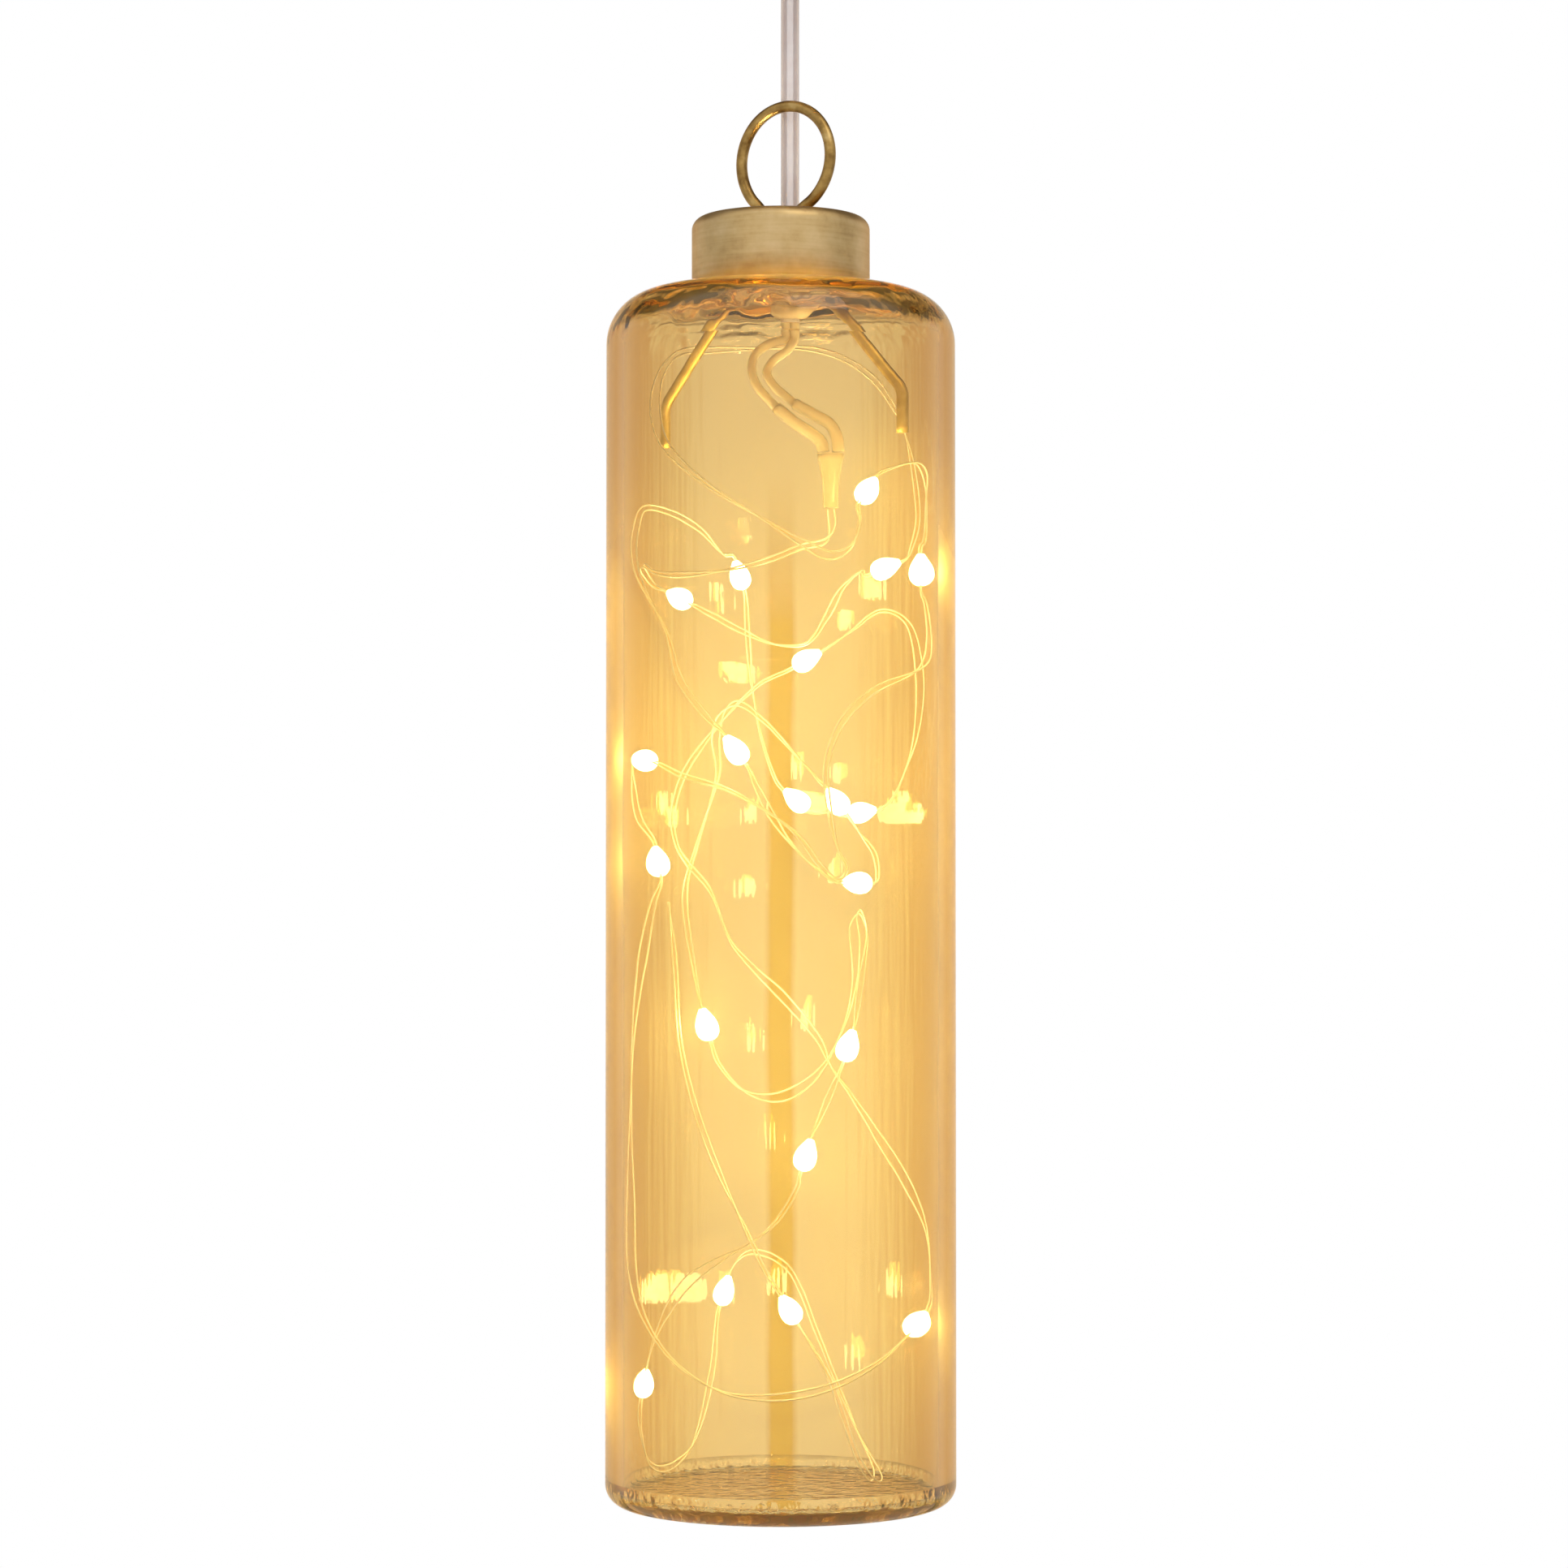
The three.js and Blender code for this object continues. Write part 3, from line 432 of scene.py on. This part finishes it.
# %% The gathering sleeve and the glue
gather_low, gather_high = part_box("joint_sleeve")
gather_middle = (Vector(gather_low) + Vector(gather_high)) / 2
GATHER_OUTLINE = [(0, -10), (1.3, -10), (1.4, -9.8), (1.4, -6.5), (1.5, -5), (2, -2.6), (2.4, -1),
                  (2.5, 0), (2.3, 0), (0, 0)]
GATHER_FLATNESS = 0.62
GATHER_SIDES = 28
GLUE_SIDES = 32
gather = lathe("gather_sleeve", [(r * MM, z * MM) for r, z in GATHER_OUTLINE], GATHER_SIDES)
gather.data.transform(Matrix.Diagonal((1, GATHER_FLATNESS, 1, 1)))
gather.data.transform(Matrix.Translation((gather_middle.x, gather_middle.y, gather_high[2])))
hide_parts("joint_sleeve")

plug_low, plug_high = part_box("glue_plug")
plug_height = (plug_high[2] - plug_low[2]) / MM
blob = [(0, 0), (1.2, 0.05), (2.6, 0.6), (3.7, 1.7), (4.3, 3.2), (4.4, 5), (4.3, 7.2),
        (4.35, plug_height - 0.6), (4.0, plug_height), (0, plug_height)]
glue = lathe("glue_blob", [(r * MM, z * MM) for r, z in blob], GLUE_SIDES, place=(0, 0, plug_low[2]))
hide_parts("glue_plug")
for piece, slot in [*[(c, "clear_lead") for c in cores], *[(s, "sleeve") for s in sleeves],
                    (gather, "sleeve"), (glue, "glue")]:
    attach(piece, "pendant")
print("glue", round(plug_height, 1), "mm high")

# %% [markdown]
# ## The glass
# The cylinder is one turned body with a thick tinted wall, a rounded shoulder and a short neck. A
# thickened skin would have the same wall everywhere, but base, wall and neck differ, so the profile
# runs up the outside, over the rim and down the inside. The inner faces, the lining, carry the
# ripples, the painted reflection band and the haze that the material adds, so each face stores
# whether it belongs to the lining.

# %% The glass
GLASS_RADIUS = 32.5 * MM
WALL = 3.2 * MM
BASE_ROUND = 4 * MM
SHOULDER_ROUND = 10 * MM
NECK_WALL = 2.4 * MM
NECK_RADIUS = 15.4 * MM
RIM_ROUND = 1 * MM
EDGE_ROUND = 0.8 * MM
GLASS_SIDES = 160
NEAR = 0.05 * MM

base, rim = glass_low[2], glass_high[2]
shoulder = cap_low[2] - SEAT
under = shoulder - WALL
bore = GLASS_RADIUS - WALL
neck_bore = NECK_RADIUS - NECK_WALL
outside = [
    (0, base),
    *arc(GLASS_RADIUS - BASE_ROUND, base + BASE_ROUND, BASE_ROUND, -90, 0, 12),
    *arc(GLASS_RADIUS - SHOULDER_ROUND, shoulder - SHOULDER_ROUND, SHOULDER_ROUND, 0, 90, 16),
    (NECK_RADIUS, shoulder),
    *arc(NECK_RADIUS - RIM_ROUND, rim - RIM_ROUND, RIM_ROUND, 0, 90),
    *arc(neck_bore + RIM_ROUND, rim - RIM_ROUND, RIM_ROUND, 90, 180),
    *arc(neck_bore + EDGE_ROUND, under + EDGE_ROUND, EDGE_ROUND, 180, 270),
]
lining = [
    *arc(bore - SHOULDER_ROUND + WALL, under - SHOULDER_ROUND + WALL, SHOULDER_ROUND - WALL, 90, 0, 14),
    *arc(bore - BASE_ROUND + WALL, glass_floor + BASE_ROUND - WALL, BASE_ROUND - WALL, 0, -90),
    (0, glass_floor),
]
glass = lathe("glass_body", outside + lining, GLASS_SIDES, place=(axis.x, axis.y, 0))
lined = glass.data.attributes.new("lining", "FLOAT", "FACE")
for face in glass.data.polygons:
    centre = face.center
    reach = math.hypot(centre.x - axis.x, centre.y - axis.y)
    inside = reach < bore + NEAR and glass_floor - NEAR < centre.z < under + NEAR
    lined.data[face.index].value = float(inside)
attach(glass, "glass")
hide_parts("glass_cylinder")
print("glass", round((shoulder - base) / MM, 1), "mm to the shoulder,",
      sum(int(value.value) for value in lined.data), "lined faces")

# %% [markdown]
# ## The cap
# The cap is drawn from thin brass sheet, with a soft upper edge and a hole for the wires. Its lower
# edge and the edge of its hole are taken off a little, so that they don't cut. A closed profile
# makes both faces of the sheet and its edges in one turn.

# %% The cap
CAP_RADIUS = 16.6 * MM
CAP_HEIGHT = cap_high[2] - cap_low[2]
CAP_WALL = 0.8 * MM
CAP_ROUND = 2.4 * MM
CAP_HOLE = 7.8 * MM
EDGE_BREAK = 0.25 * MM
HOLE_BREAK = 0.3 * MM
CAP_SIDES = 128

bend = CAP_RADIUS - CAP_ROUND
profile = [
    (CAP_RADIUS - CAP_WALL, -CAP_HEIGHT),
    (CAP_RADIUS - EDGE_BREAK, -CAP_HEIGHT),
    (CAP_RADIUS, -CAP_HEIGHT + EDGE_BREAK),
    *arc(bend, -CAP_ROUND, CAP_ROUND, 0, 90, 12),
    (CAP_HOLE + HOLE_BREAK, 0),
    (CAP_HOLE, -HOLE_BREAK),
    (CAP_HOLE, -CAP_WALL),
    *arc(bend, -CAP_ROUND, CAP_ROUND - CAP_WALL, 90, 0, 10),
]
cap = lathe("cap_shell", profile, CAP_SIDES, closed=True, place=(axis.x, axis.y, cap_top))
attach(cap, "pendant")
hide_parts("cap")
print("cap", round(2 * CAP_RADIUS / MM, 1), "by", round(CAP_HEIGHT / MM, 1), "mm")

# %% [markdown]
# ## The hanger
# The hanger is one springy wire: its ring stands above the cap, its legs cross in the hole, and its
# prongs spread under the shoulder, where they carry the glass. The legs lie on the inner edge of
# the neck, so the height at which they cross follows from the neck and their slope. The ring leans
# a little, because the wire was bent so.

# %% The hanger's sizes
WIRE = 2.1 * MM
RING_RADIUS = 10.3 * MM
RING_MOUTH = math.radians(35)
RING_LEAN = math.radians(6.5)
LEG_SLOPE = math.radians(50)
PRONG_CLEARANCE = 3.8 * MM
PRONG_REACH = bore - PRONG_CLEARANCE
PRONG_TIP = 8 * MM
PRONG_BEND = 1 * MM
RING_TURN = math.radians(-33)
RING_OFFSET = 0.8 * MM
RING_STEPS = 24
HANGER_STEPS = 5
WIRE_SIDES = 14

legs_apart = (WIRE + SEAT) / 2
edge_in_plane = math.sqrt(neck_bore**2 - (RING_OFFSET + legs_apart) ** 2) + EDGE_ROUND
edge_height = under + EDGE_ROUND - cap_top
edge_gap = WIRE / 2 + SEAT + EDGE_ROUND
crossing = edge_height + (edge_in_plane * math.sin(LEG_SLOPE) - edge_gap) / math.cos(LEG_SLOPE)
mouth_reach = RING_RADIUS * math.sin(RING_MOUTH)
mouth_rise = mouth_reach * math.tan((RING_MOUTH + LEG_SLOPE) / 2)
ring_rise = mouth_rise + RING_RADIUS * math.cos(RING_MOUTH)
print("legs cross", round(crossing / MM, 1), "mm above the cap's top")

# %% [markdown]
# A ring and two rods could be joined, but the real wire is one, and one sweep has no seams. Its
# route starts at the tip of the left prong, runs up its leg, once round the ring and down the other
# leg, and the whole is then turned to its place.

# %% The hanger's route
def prong(side, lie):
    low = crossing - PRONG_REACH * math.tan(LEG_SLOPE)

    def on_leg(reach):
        inward = PRONG_REACH - reach * math.cos(LEG_SLOPE)
        return (side * inward, lie, low + reach * math.sin(LEG_SLOPE))

    return [
        (side * PRONG_REACH, lie, low - PRONG_TIP),
        (side * PRONG_REACH, lie, low - 2 * PRONG_BEND),
        (side * PRONG_REACH, lie, low - PRONG_BEND),
        on_leg(PRONG_BEND),
        on_leg(2 * PRONG_BEND),
        (side * PRONG_REACH / 2, lie, (low + crossing) / 2),
        (0, lie, crossing),
    ]


points = prong(-1, -legs_apart)
for step in range(RING_STEPS + 1):
    share = step / RING_STEPS
    angle = RING_MOUTH + share * 2 * (math.pi - RING_MOUTH)
    reach = RING_RADIUS * math.sin(angle)
    rise = ring_rise - RING_RADIUS * math.cos(angle)
    points.append((reach * math.cos(RING_LEAN) + rise * math.sin(RING_LEAN),
                   legs_apart * (2 * share - 1),
                   crossing + rise * math.cos(RING_LEAN) - reach * math.sin(RING_LEAN)))
points += prong(1, legs_apart)[::-1]
stand = Matrix.Translation((axis.x, axis.y, cap_top)) @ Matrix.Rotation(RING_TURN, 4, "Z")
stand = stand @ Matrix.Translation((0, -RING_OFFSET, 0))
hanger_route = smooth_route([stand @ Vector(p) for p in points], HANGER_STEPS)
hanger = sweep("hanger_wire", hanger_route, circle(WIRE / 2, WIRE_SIDES))
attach(hanger, "pendant")
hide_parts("hanger")
ring_top = max(point.z for point in hanger_route) + WIRE / 2
print("ring top", round((ring_top - cap_top) / MM, 1), "mm above the cap")

# %% [markdown]
# ## The ceiling fitting
# The cup, its screws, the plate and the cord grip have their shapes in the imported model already. They
# only need what pressing and moulding leave on them: small round edges that catch the light. A copy
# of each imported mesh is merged, and a bevel rounds every edge that is sharper than 40 degrees.

# %% The ceiling fitting
SHARP = math.radians(40)
SAME_CORNER = 0.001 * MM
PRESSED_EDGE = 0.2 * MM
SHEET_EDGE = 0.15 * MM
MOULDED_EDGE = 0.3 * MM
RING_EDGE = 0.2 * MM


def eased(name, node, edge):
    bm = bmesh.new()
    bm.from_mesh(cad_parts[node].data)
    bmesh.ops.remove_doubles(bm, verts=bm.verts, dist=SAME_CORNER)
    obj = finished(name, bm)
    bevel = obj.modifiers.new("edges", "BEVEL")
    bevel.width = edge
    bevel.segments = 2
    bevel.limit_method = "ANGLE"
    bevel.angle_limit = SHARP
    bevel.harden_normals = True
    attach(obj, "ceiling_fitting")
    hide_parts(node)
    return obj


cup = eased("cup_shell", "ceiling_cup", PRESSED_EDGE)
cup_screws = [eased(f"cup_screw_{side}_head", f"cup_screw_{side}", PRESSED_EDGE)
              for side in ("left", "right")]
plate = eased("plate_sheet", "ceiling_plate", SHEET_EDGE)
grip = eased("grip_body", "cord_grip", MOULDED_EDGE)
nut = eased("grip_ring", "grip_nut", RING_EDGE)
block = eased("block_body", "terminal_block", MOULDED_EDGE)
print("ceiling fitting", len([cup, *cup_screws, plate, grip, nut, block]), "pieces")

# %% [markdown]
# ## Material nodes
# Shader maths reads best as plain formulas. This small class wraps a node's output, so that two
# outputs, or an output and a number, can be added, subtracted or multiplied, and one method makes
# any other node.

# %% Material nodes
class Value:
    def __init__(self, tree, socket):
        self.tree = tree
        self.socket = socket

    def make(self, kind, inputs, output=0, **settings):
        node = self.tree.nodes.new(kind)
        for name, setting in settings.items():
            setattr(node, name, setting)
        for name, value in inputs.items():
            if isinstance(value, Value):
                self.tree.links.new(value.socket, node.inputs[name])
            else:
                node.inputs[name].default_value = value
        return Value(self.tree, node.outputs[output])

    def mixed(self, low, high):
        return self.make("ShaderNodeMix", {0: self, 6: low, 7: high}, 2, data_type="RGBA")

    def math(self, operation, first, second):
        return self.make("ShaderNodeMath", {0: first, 1: second}, operation=operation)

    def __add__(self, other):
        return self.math("ADD", self, other)

    def __radd__(self, other):
        return self.math("ADD", other, self)

    def __sub__(self, other):
        return self.math("SUBTRACT", self, other)

    def __rsub__(self, other):
        return self.math("SUBTRACT", other, self)

    def __mul__(self, other):
        return self.math("MULTIPLY", self, other)

    def __rmul__(self, other):
        return self.math("MULTIPLY", other, self)

    def noise(self, scale, detail=3.0, roughness=0.55):
        return self.make("ShaderNodeTexNoise", {"Vector": self, "Scale": scale, "Detail": detail,
                                                "Roughness": roughness})

    def stretched(self, *scale):
        return self.make("ShaderNodeMapping", {"Vector": self, "Scale": scale})

    def between(self, low, high, to_low=0.0, to_high=1.0):
        return self.make("ShaderNodeMapRange", {"Value": self, "From Min": low, "From Max": high,
                                                "To Min": to_low, "To Max": to_high})

    def colours(self, *stops):
        ramp = self.make("ShaderNodeValToRGB", {"Fac": self})
        elements = ramp.socket.node.color_ramp.elements
        while len(elements) < len(stops):
            elements.new(0.5)
        for element, (place, colour) in zip(elements, stops):
            element.position = place
            element.color = (*colour, 1)
        return ramp

    def bump(self, strength, distance):
        return self.make("ShaderNodeBump", {"Height": self, "Strength": strength, "Distance": distance})


# %% [markdown]
# A material starts as a principled shader with some constants. What changes over a surface is made
# from its place and fed to the shader afterwards. Dressing a piece gives it its materials.

# %% Making a material
def material(name, constants):
    made = bpy.data.materials.new(name)
    made.use_nodes = True
    tree = made.node_tree
    shader = tree.nodes["Principled BSDF"]
    for socket, value in constants.items():
        shader.inputs[socket].default_value = value
    place = Value(tree, tree.nodes.new("ShaderNodeTexCoord").outputs["Object"])

    def feed(**sockets):
        for socket, value in sockets.items():
            tree.links.new(value.socket, shader.inputs[socket.replace("_", " ")])
    return made, place, feed


def dress(obj, *materials):
    if obj.data.materials:
        obj.data.materials.clear()
    for each in materials:
        obj.data.materials.append(each)


# %% [markdown]
# ## Glass
# The wall is amber through and through, so it is darkest where the eye looks along it. A coloured
# surface couldn't do that, so the volume takes up the light. Pressing left rings at the shoulder and a
# rough floor, and drawing left fine upright lines, which break up the drops' reflections in the
# back wall. A golden band is painted down the back wall: a painted reflection of something behind
# the light. The lining also scatters a little light, so each drop throws a glow on the wall beside it.

# %% Glass material
CLEAR = (1.0, 0.98, 0.96, 1)
BAND_REFLECTION_TINT = (0.72, 0.43, 0.01, 1)
GLOW = (1.0, 0.89, 0.36, 1)
AMBER = (0.812, 0.60, 0.07, 1)
AMBER_DENSITY = 245
BAND_WANDER = 1.5 * MM

tinted, place, feed = material("amber_glass", {"Roughness": 0.0, "IOR": 1.5, "Transmission Weight": 1.0})
tree = tinted.node_tree
lining_here = place.make("ShaderNodeAttribute", {}, "Fac", attribute_name="lining")
split = place.make("ShaderNodeSeparateXYZ", {"Vector": place}).socket.node
across, away, height = (Value(tree, split.outputs[name]) for name in "XYZ")
centred = place.make("ShaderNodeMapping", {"Vector": place, "Location": (-axis.x, -axis.y, 0)})
from_axis = place.make("ShaderNodeVectorMath", {0: centred.stretched(1, 1, 0)}, 1, operation="LENGTH")
by_shoulder = height.between(shoulder - 11 * MM, shoulder - 7 * MM)
by_base = height.between(base + 5 * MM, base + 3.5 * MM)
at_back = away.between(axis.y, axis.y + 12 * MM)

waves = place.stretched(1, 1, 0.3).noise(50, 3.0)
rings = place.make("ShaderNodeTexWave", {"Vector": centred, "Scale": 80.0, "Distortion": 4.0,
                                         "Detail": 2.0, "Detail Scale": 1.5}, 1,
                   wave_type="RINGS", rings_direction="Z")
pressed = rings * (by_shoulder * 1.2 + by_base * 0.15) + place.noise(340, 2.0) * by_base * 5.0
swirls = place.stretched(60, 60, 420).noise(1.0, 2.0)
swirls = swirls * height.between(shoulder - 32 * MM, shoulder - 12 * MM)
drawn = place.stretched(1, 1, 0.06).noise(480, 1.0) * 0.5 + swirls * 0.4

# Painted reflection: a golden band down the back wall stands in for something behind the light that is
# seen in the glass.
wander = place.stretched(0, 0, 1).noise(25, 1.0) * BAND_WANDER
off_painted_band = across + wander - (axis.x + BAND_WANDER / 2)
painted_band = off_painted_band.math("ABSOLUTE", off_painted_band, 0.0).between(2.0 * MM, 3.4 * MM, 1.0, 0.0)
painted_band = painted_band * at_back * height.between(shoulder - 30 * MM, shoulder - 60 * MM)
hue = waves.colours((0.3, (1.0, 0.92, 0.70)), (0.7, (1.0, 0.97, 0.84)))
feed(Base_Color=lining_here.mixed(CLEAR, painted_band.mixed(hue, BAND_REFLECTION_TINT)),
     Normal=(waves * 0.2 + (drawn * at_back + pressed) * lining_here).bump(0.5, 0.6 * MM))

lit_neck = height.between(under - 0.6 * MM, under - 0.2 * MM) * from_axis.between(24 * MM, 16 * MM)
haze = height.between(shoulder - 75 * MM, shoulder - 25 * MM, 0.034, 0.012) + lit_neck * 0.3
wall = Value(tree, tree.nodes["Principled BSDF"].outputs["BSDF"])
glow = place.make("ShaderNodeBsdfTranslucent", {"Color": GLOW})
scatter = place.make("ShaderNodeMixShader", {"Fac": lining_here * haze, 1: wall, 2: glow})
absorb = place.make("ShaderNodeVolumeAbsorption", {"Color": AMBER, "Density": AMBER_DENSITY})
tree.links.new(scatter.socket, tree.nodes["Material Output"].inputs["Surface"])
tree.links.new(absorb.socket, tree.nodes["Material Output"].inputs["Volume"])
dress(glass, tinted)
print("glass", len(tree.nodes), "nodes")

# %% [markdown]
# ## Metals
# The cap's brass is brushed round its side, dulled in patches and scratched. The hanger's ring is
# darker, as brass goes where it is handled and never polished. Inside the glass its prongs are painted
# brighter and more golden: painted light, standing in for the drops' golden glow on them. Pictures
# could show all this, but noise on the piece's own place needs no unwrapping: squeezed in height it
# draws the brushing, and cut at a level it leaves the scratches.

# %% Metal materials
brass, place, feed = material("brushed_brass", {"Metallic": 1.0})
brushed = place.stretched(60, 60, 1400).noise(1.0, 4.0)
patches = place.noise(160, 4.0, 0.6)
scratches = place.stretched(900, 900, 90).noise(1.0, 2.0).between(0.66, 0.72)
feed(Base_Color=(patches * 0.7 + brushed * 0.3).colours(
        (0.25, (0.36, 0.22, 0.085)), (0.45, (0.54, 0.37, 0.16)), (0.7, (0.67, 0.495, 0.26))),
     Roughness=(0.3 + patches * 0.2 + scratches * 0.15),
     Normal=(brushed * 0.6 - scratches * 0.5).bump(0.18, 0.2 * MM))

antique, place, feed = material("antique_brass", {"Metallic": 1.0})
patches = place.noise(300, 4.0, 0.6)
tarnished = patches.colours((0.3, (0.20, 0.11, 0.03)), (0.55, (0.42, 0.26, 0.08)),
                            (0.75, (0.60, 0.42, 0.17)))
# Painted light: below the neck the prongs get a brighter, more golden colour for the drops' glow on
# them.
glow_lit_brass = patches.colours((0.3, (0.62, 0.44, 0.09)), (0.75, (0.86, 0.68, 0.24)))
height = place.make("ShaderNodeSeparateXYZ", {"Vector": place}, "Z")
feed(Base_Color=height.between(under, under - 4 * MM).mixed(tarnished, glow_lit_brass),
     Roughness=(0.2 + patches * 0.3), Normal=patches.bump(0.15, 0.1 * MM))

copper, place, feed = material("copper", {"Metallic": 1.0, "Roughness": 0.35})
feed(Base_Color=place.noise(900).colours((0.35, (0.36, 0.19, 0.13)), (0.7, (0.62, 0.38, 0.28))))

gold_wire, place, feed = material("lacquered_wire", {"Metallic": 0.3, "Roughness": 0.22,
                                                     "Coat Weight": 0.6})
feed(Base_Color=place.noise(200).colours((0.35, (0.94, 0.82, 0.56)), (0.7, (1.0, 0.94, 0.78))))

zinc, place, feed = material("zinc_plate", {"Metallic": 1.0})
patches = place.noise(220, 4.0)
feed(Base_Color=patches.colours((0.35, (0.42, 0.42, 0.42)), (0.7, (0.66, 0.66, 0.65))),
     Roughness=(0.28 + patches * 0.2))

dress(cap, brass)
dress(hanger, antique)
dress(strands, copper)
dress(string, gold_wire)
for piece in (cup, *cup_screws):
    dress(piece, brass)
for piece in (plate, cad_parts["terminal_screw_1"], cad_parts["terminal_screw_2"]):
    dress(piece, zinc)
print("metals", ", ".join(metal.name for metal in (brass, antique, copper, gold_wire, zinc)))

# %% [markdown]
# ## Plastics and light
# Flex, sleeves and glue are clear but never perfectly so: they are a little cloudy. Inside the
# glass, cores, sleeves and glue get golden colours painted in: painted light for the light there, which
# has passed through amber or comes from the drops.
# The drops are resin over a lit chip, so bright that they read as white. Twenty small lamps could
# light the glass, but the drops' own surfaces do it with the right form and highlights.

# %% Plastic materials
DROP_LIGHT = 420.0


def clear_plastic(name, low, high, transmission, roughness):
    made, place, feed = material(name, {"IOR": 1.46, "Transmission Weight": transmission})
    cloud = place.noise(350, 3.0)
    feed(Base_Color=cloud.colours((0.3, low), (0.7, high)), Roughness=(roughness + cloud * 0.12),
         Normal=cloud.bump(0.05, 0.2 * MM))
    return made


flex = clear_plastic("clear_flex", (0.86, 0.76, 0.73), (0.92, 0.85, 0.83), 0.55, 0.08)
# Painted light: cores, sleeves and glue get a golden colour for the amber light inside the glass.
core_plastic = clear_plastic("core_skin", (0.95, 0.83, 0.55), (1.0, 0.92, 0.70), 0.45, 0.08)
sleeve_plastic = clear_plastic("shrink_sleeve", (0.94, 0.82, 0.54), (1.0, 0.91, 0.68), 0.75, 0.08)
glue_plastic = clear_plastic("hot_glue", (0.82, 0.66, 0.40), (0.92, 0.80, 0.56), 0.5, 0.15)
nylon = clear_plastic("nylon", (0.80, 0.78, 0.73), (0.88, 0.86, 0.82), 0.25, 0.3)

moulded, place, feed = material("moulded_white", {})
grain = place.noise(2500, 2.0)
feed(Base_Color=place.noise(120).colours((0.3, (0.80, 0.77, 0.70)), (0.7, (0.88, 0.86, 0.80))),
     Roughness=(0.4 + grain * 0.15), Normal=grain.bump(0.1, 0.1 * MM))

lit, place, feed = material("lit_resin", {"Base Color": (1.0, 0.93, 0.78, 1), "Roughness": 0.15,
                                          "Emission Strength": DROP_LIGHT})
feed(Emission_Color=place.noise(500, 1.0).colours((0.3, (1.0, 0.88, 0.55)), (0.7, (1.0, 0.93, 0.68))))

dress(lead, flex)
dress(resin, lit)
for core in cores:
    dress(core, core_plastic)
for sleeve in (*sleeves, gather):
    dress(sleeve, sleeve_plastic)
dress(glue, glue_plastic)
for piece in (grip, nut):
    dress(piece, nylon)
dress(block, moulded)
print("materials", len(bpy.data.materials))

# %% [markdown]
# ## The white room
# A white room lights the glass from behind, as in the photo. Darker, warmer cards stand at the
# sides, above and below, and give the metal and the rims of the glass their dark lines. Planes could
# be those cards, but they would stand in some views, so the world is shaded by direction instead.
# Only what is seen directly is plain white.

# %% The white room
WHITE = (1, 1, 1, 1)
WARM = (1.0, 0.78, 0.54, 1)

world = bpy.data.worlds.new("studio")
world.use_nodes = True
bpy.context.scene.world = world
tree = world.node_tree
sky = tree.nodes["Background"]
direction = Value(tree, tree.nodes.new("ShaderNodeTexCoord").outputs["Generated"])
direct = Value(tree, tree.nodes.new("ShaderNodeLightPath").outputs["Is Camera Ray"])
split = direction.make("ShaderNodeSeparateXYZ", {"Vector": direction}).socket.node
across = Value(tree, split.outputs["X"])
height = Value(tree, split.outputs["Z"])
behind = Value(tree, split.outputs["Y"]).between(0.0, 0.3)
aside = across.math("ABSOLUTE", across, 0.0)
cards = aside.between(0.06, 0.2) * aside.between(0.65, 0.8, 1.0, 0.0) * behind
sides = cards * 0.2 + aside.between(0.75, 0.95) * 0.32
dark_cards = height.math("ABSOLUTE", height, 0.0).between(0.28, 0.5) * behind
level = (1.0 - sides) * (1.0 - dark_cards * 0.85)
shown = level + direct * (1.0 - level)
warm = ((cards + dark_cards) * (1.0 - direct)).mixed(WHITE, WARM)
tree.links.new(shown.socket, sky.inputs["Strength"])
tree.links.new(warm.socket, sky.inputs["Color"])
print("room", len(tree.nodes), "nodes")

# %% [markdown]
# ## Floor and lamp
# The floor is far below the light and fades to white towards its edge, so no edge shows in a raised
# view. One large soft lamp stands in front, high on the right.

# %% Floor and lamp
FLOOR_HALF = 1.2
FLOOR_DEPTH = 1.1
bm = bmesh.new()
bmesh.ops.create_grid(bm, x_segments=2, y_segments=2, size=FLOOR_HALF)
floor = finished("floor", bm)
floor.location = (0, 0, -FLOOR_DEPTH)
pale, place, feed = material("pale_floor", {"Roughness": 0.7})
feed(Base_Color=place.noise(3.0).colours((0.3, (0.80, 0.80, 0.79)), (0.7, (0.86, 0.86, 0.85))))
tree = pale.node_tree
seen = Value(tree, tree.nodes.new("ShaderNodeLightPath").outputs["Is Camera Ray"])
from_middle = place.make("ShaderNodeVectorMath", {0: place}, 1, operation="LENGTH")
fade = from_middle.between(0.3, 1.1, 0.6, 1.0)
white = place.make("ShaderNodeEmission", {"Color": WHITE, "Strength": 1.0})
card = Value(tree, tree.nodes["Principled BSDF"].outputs["BSDF"])
blended = place.make("ShaderNodeMixShader", {"Fac": seen * fade, 1: card, 2: white})
tree.links.new(blended.socket, tree.nodes["Material Output"].inputs["Surface"])
dress(floor, pale)

lamp = bpy.data.objects.new("soft_light", bpy.data.lights.new("soft_light", "AREA"))
bpy.context.scene.collection.objects.link(lamp)
lamp.data.size = 0.8
lamp.data.energy = 3
lamp.location = (0.5, -0.8, 1.1)
aim = Vector((axis.x, axis.y, -0.2)) - lamp.location
lamp.rotation_euler = aim.to_track_quat("-Z", "Y").to_euler()
print("lamp", lamp.data.energy, "W")
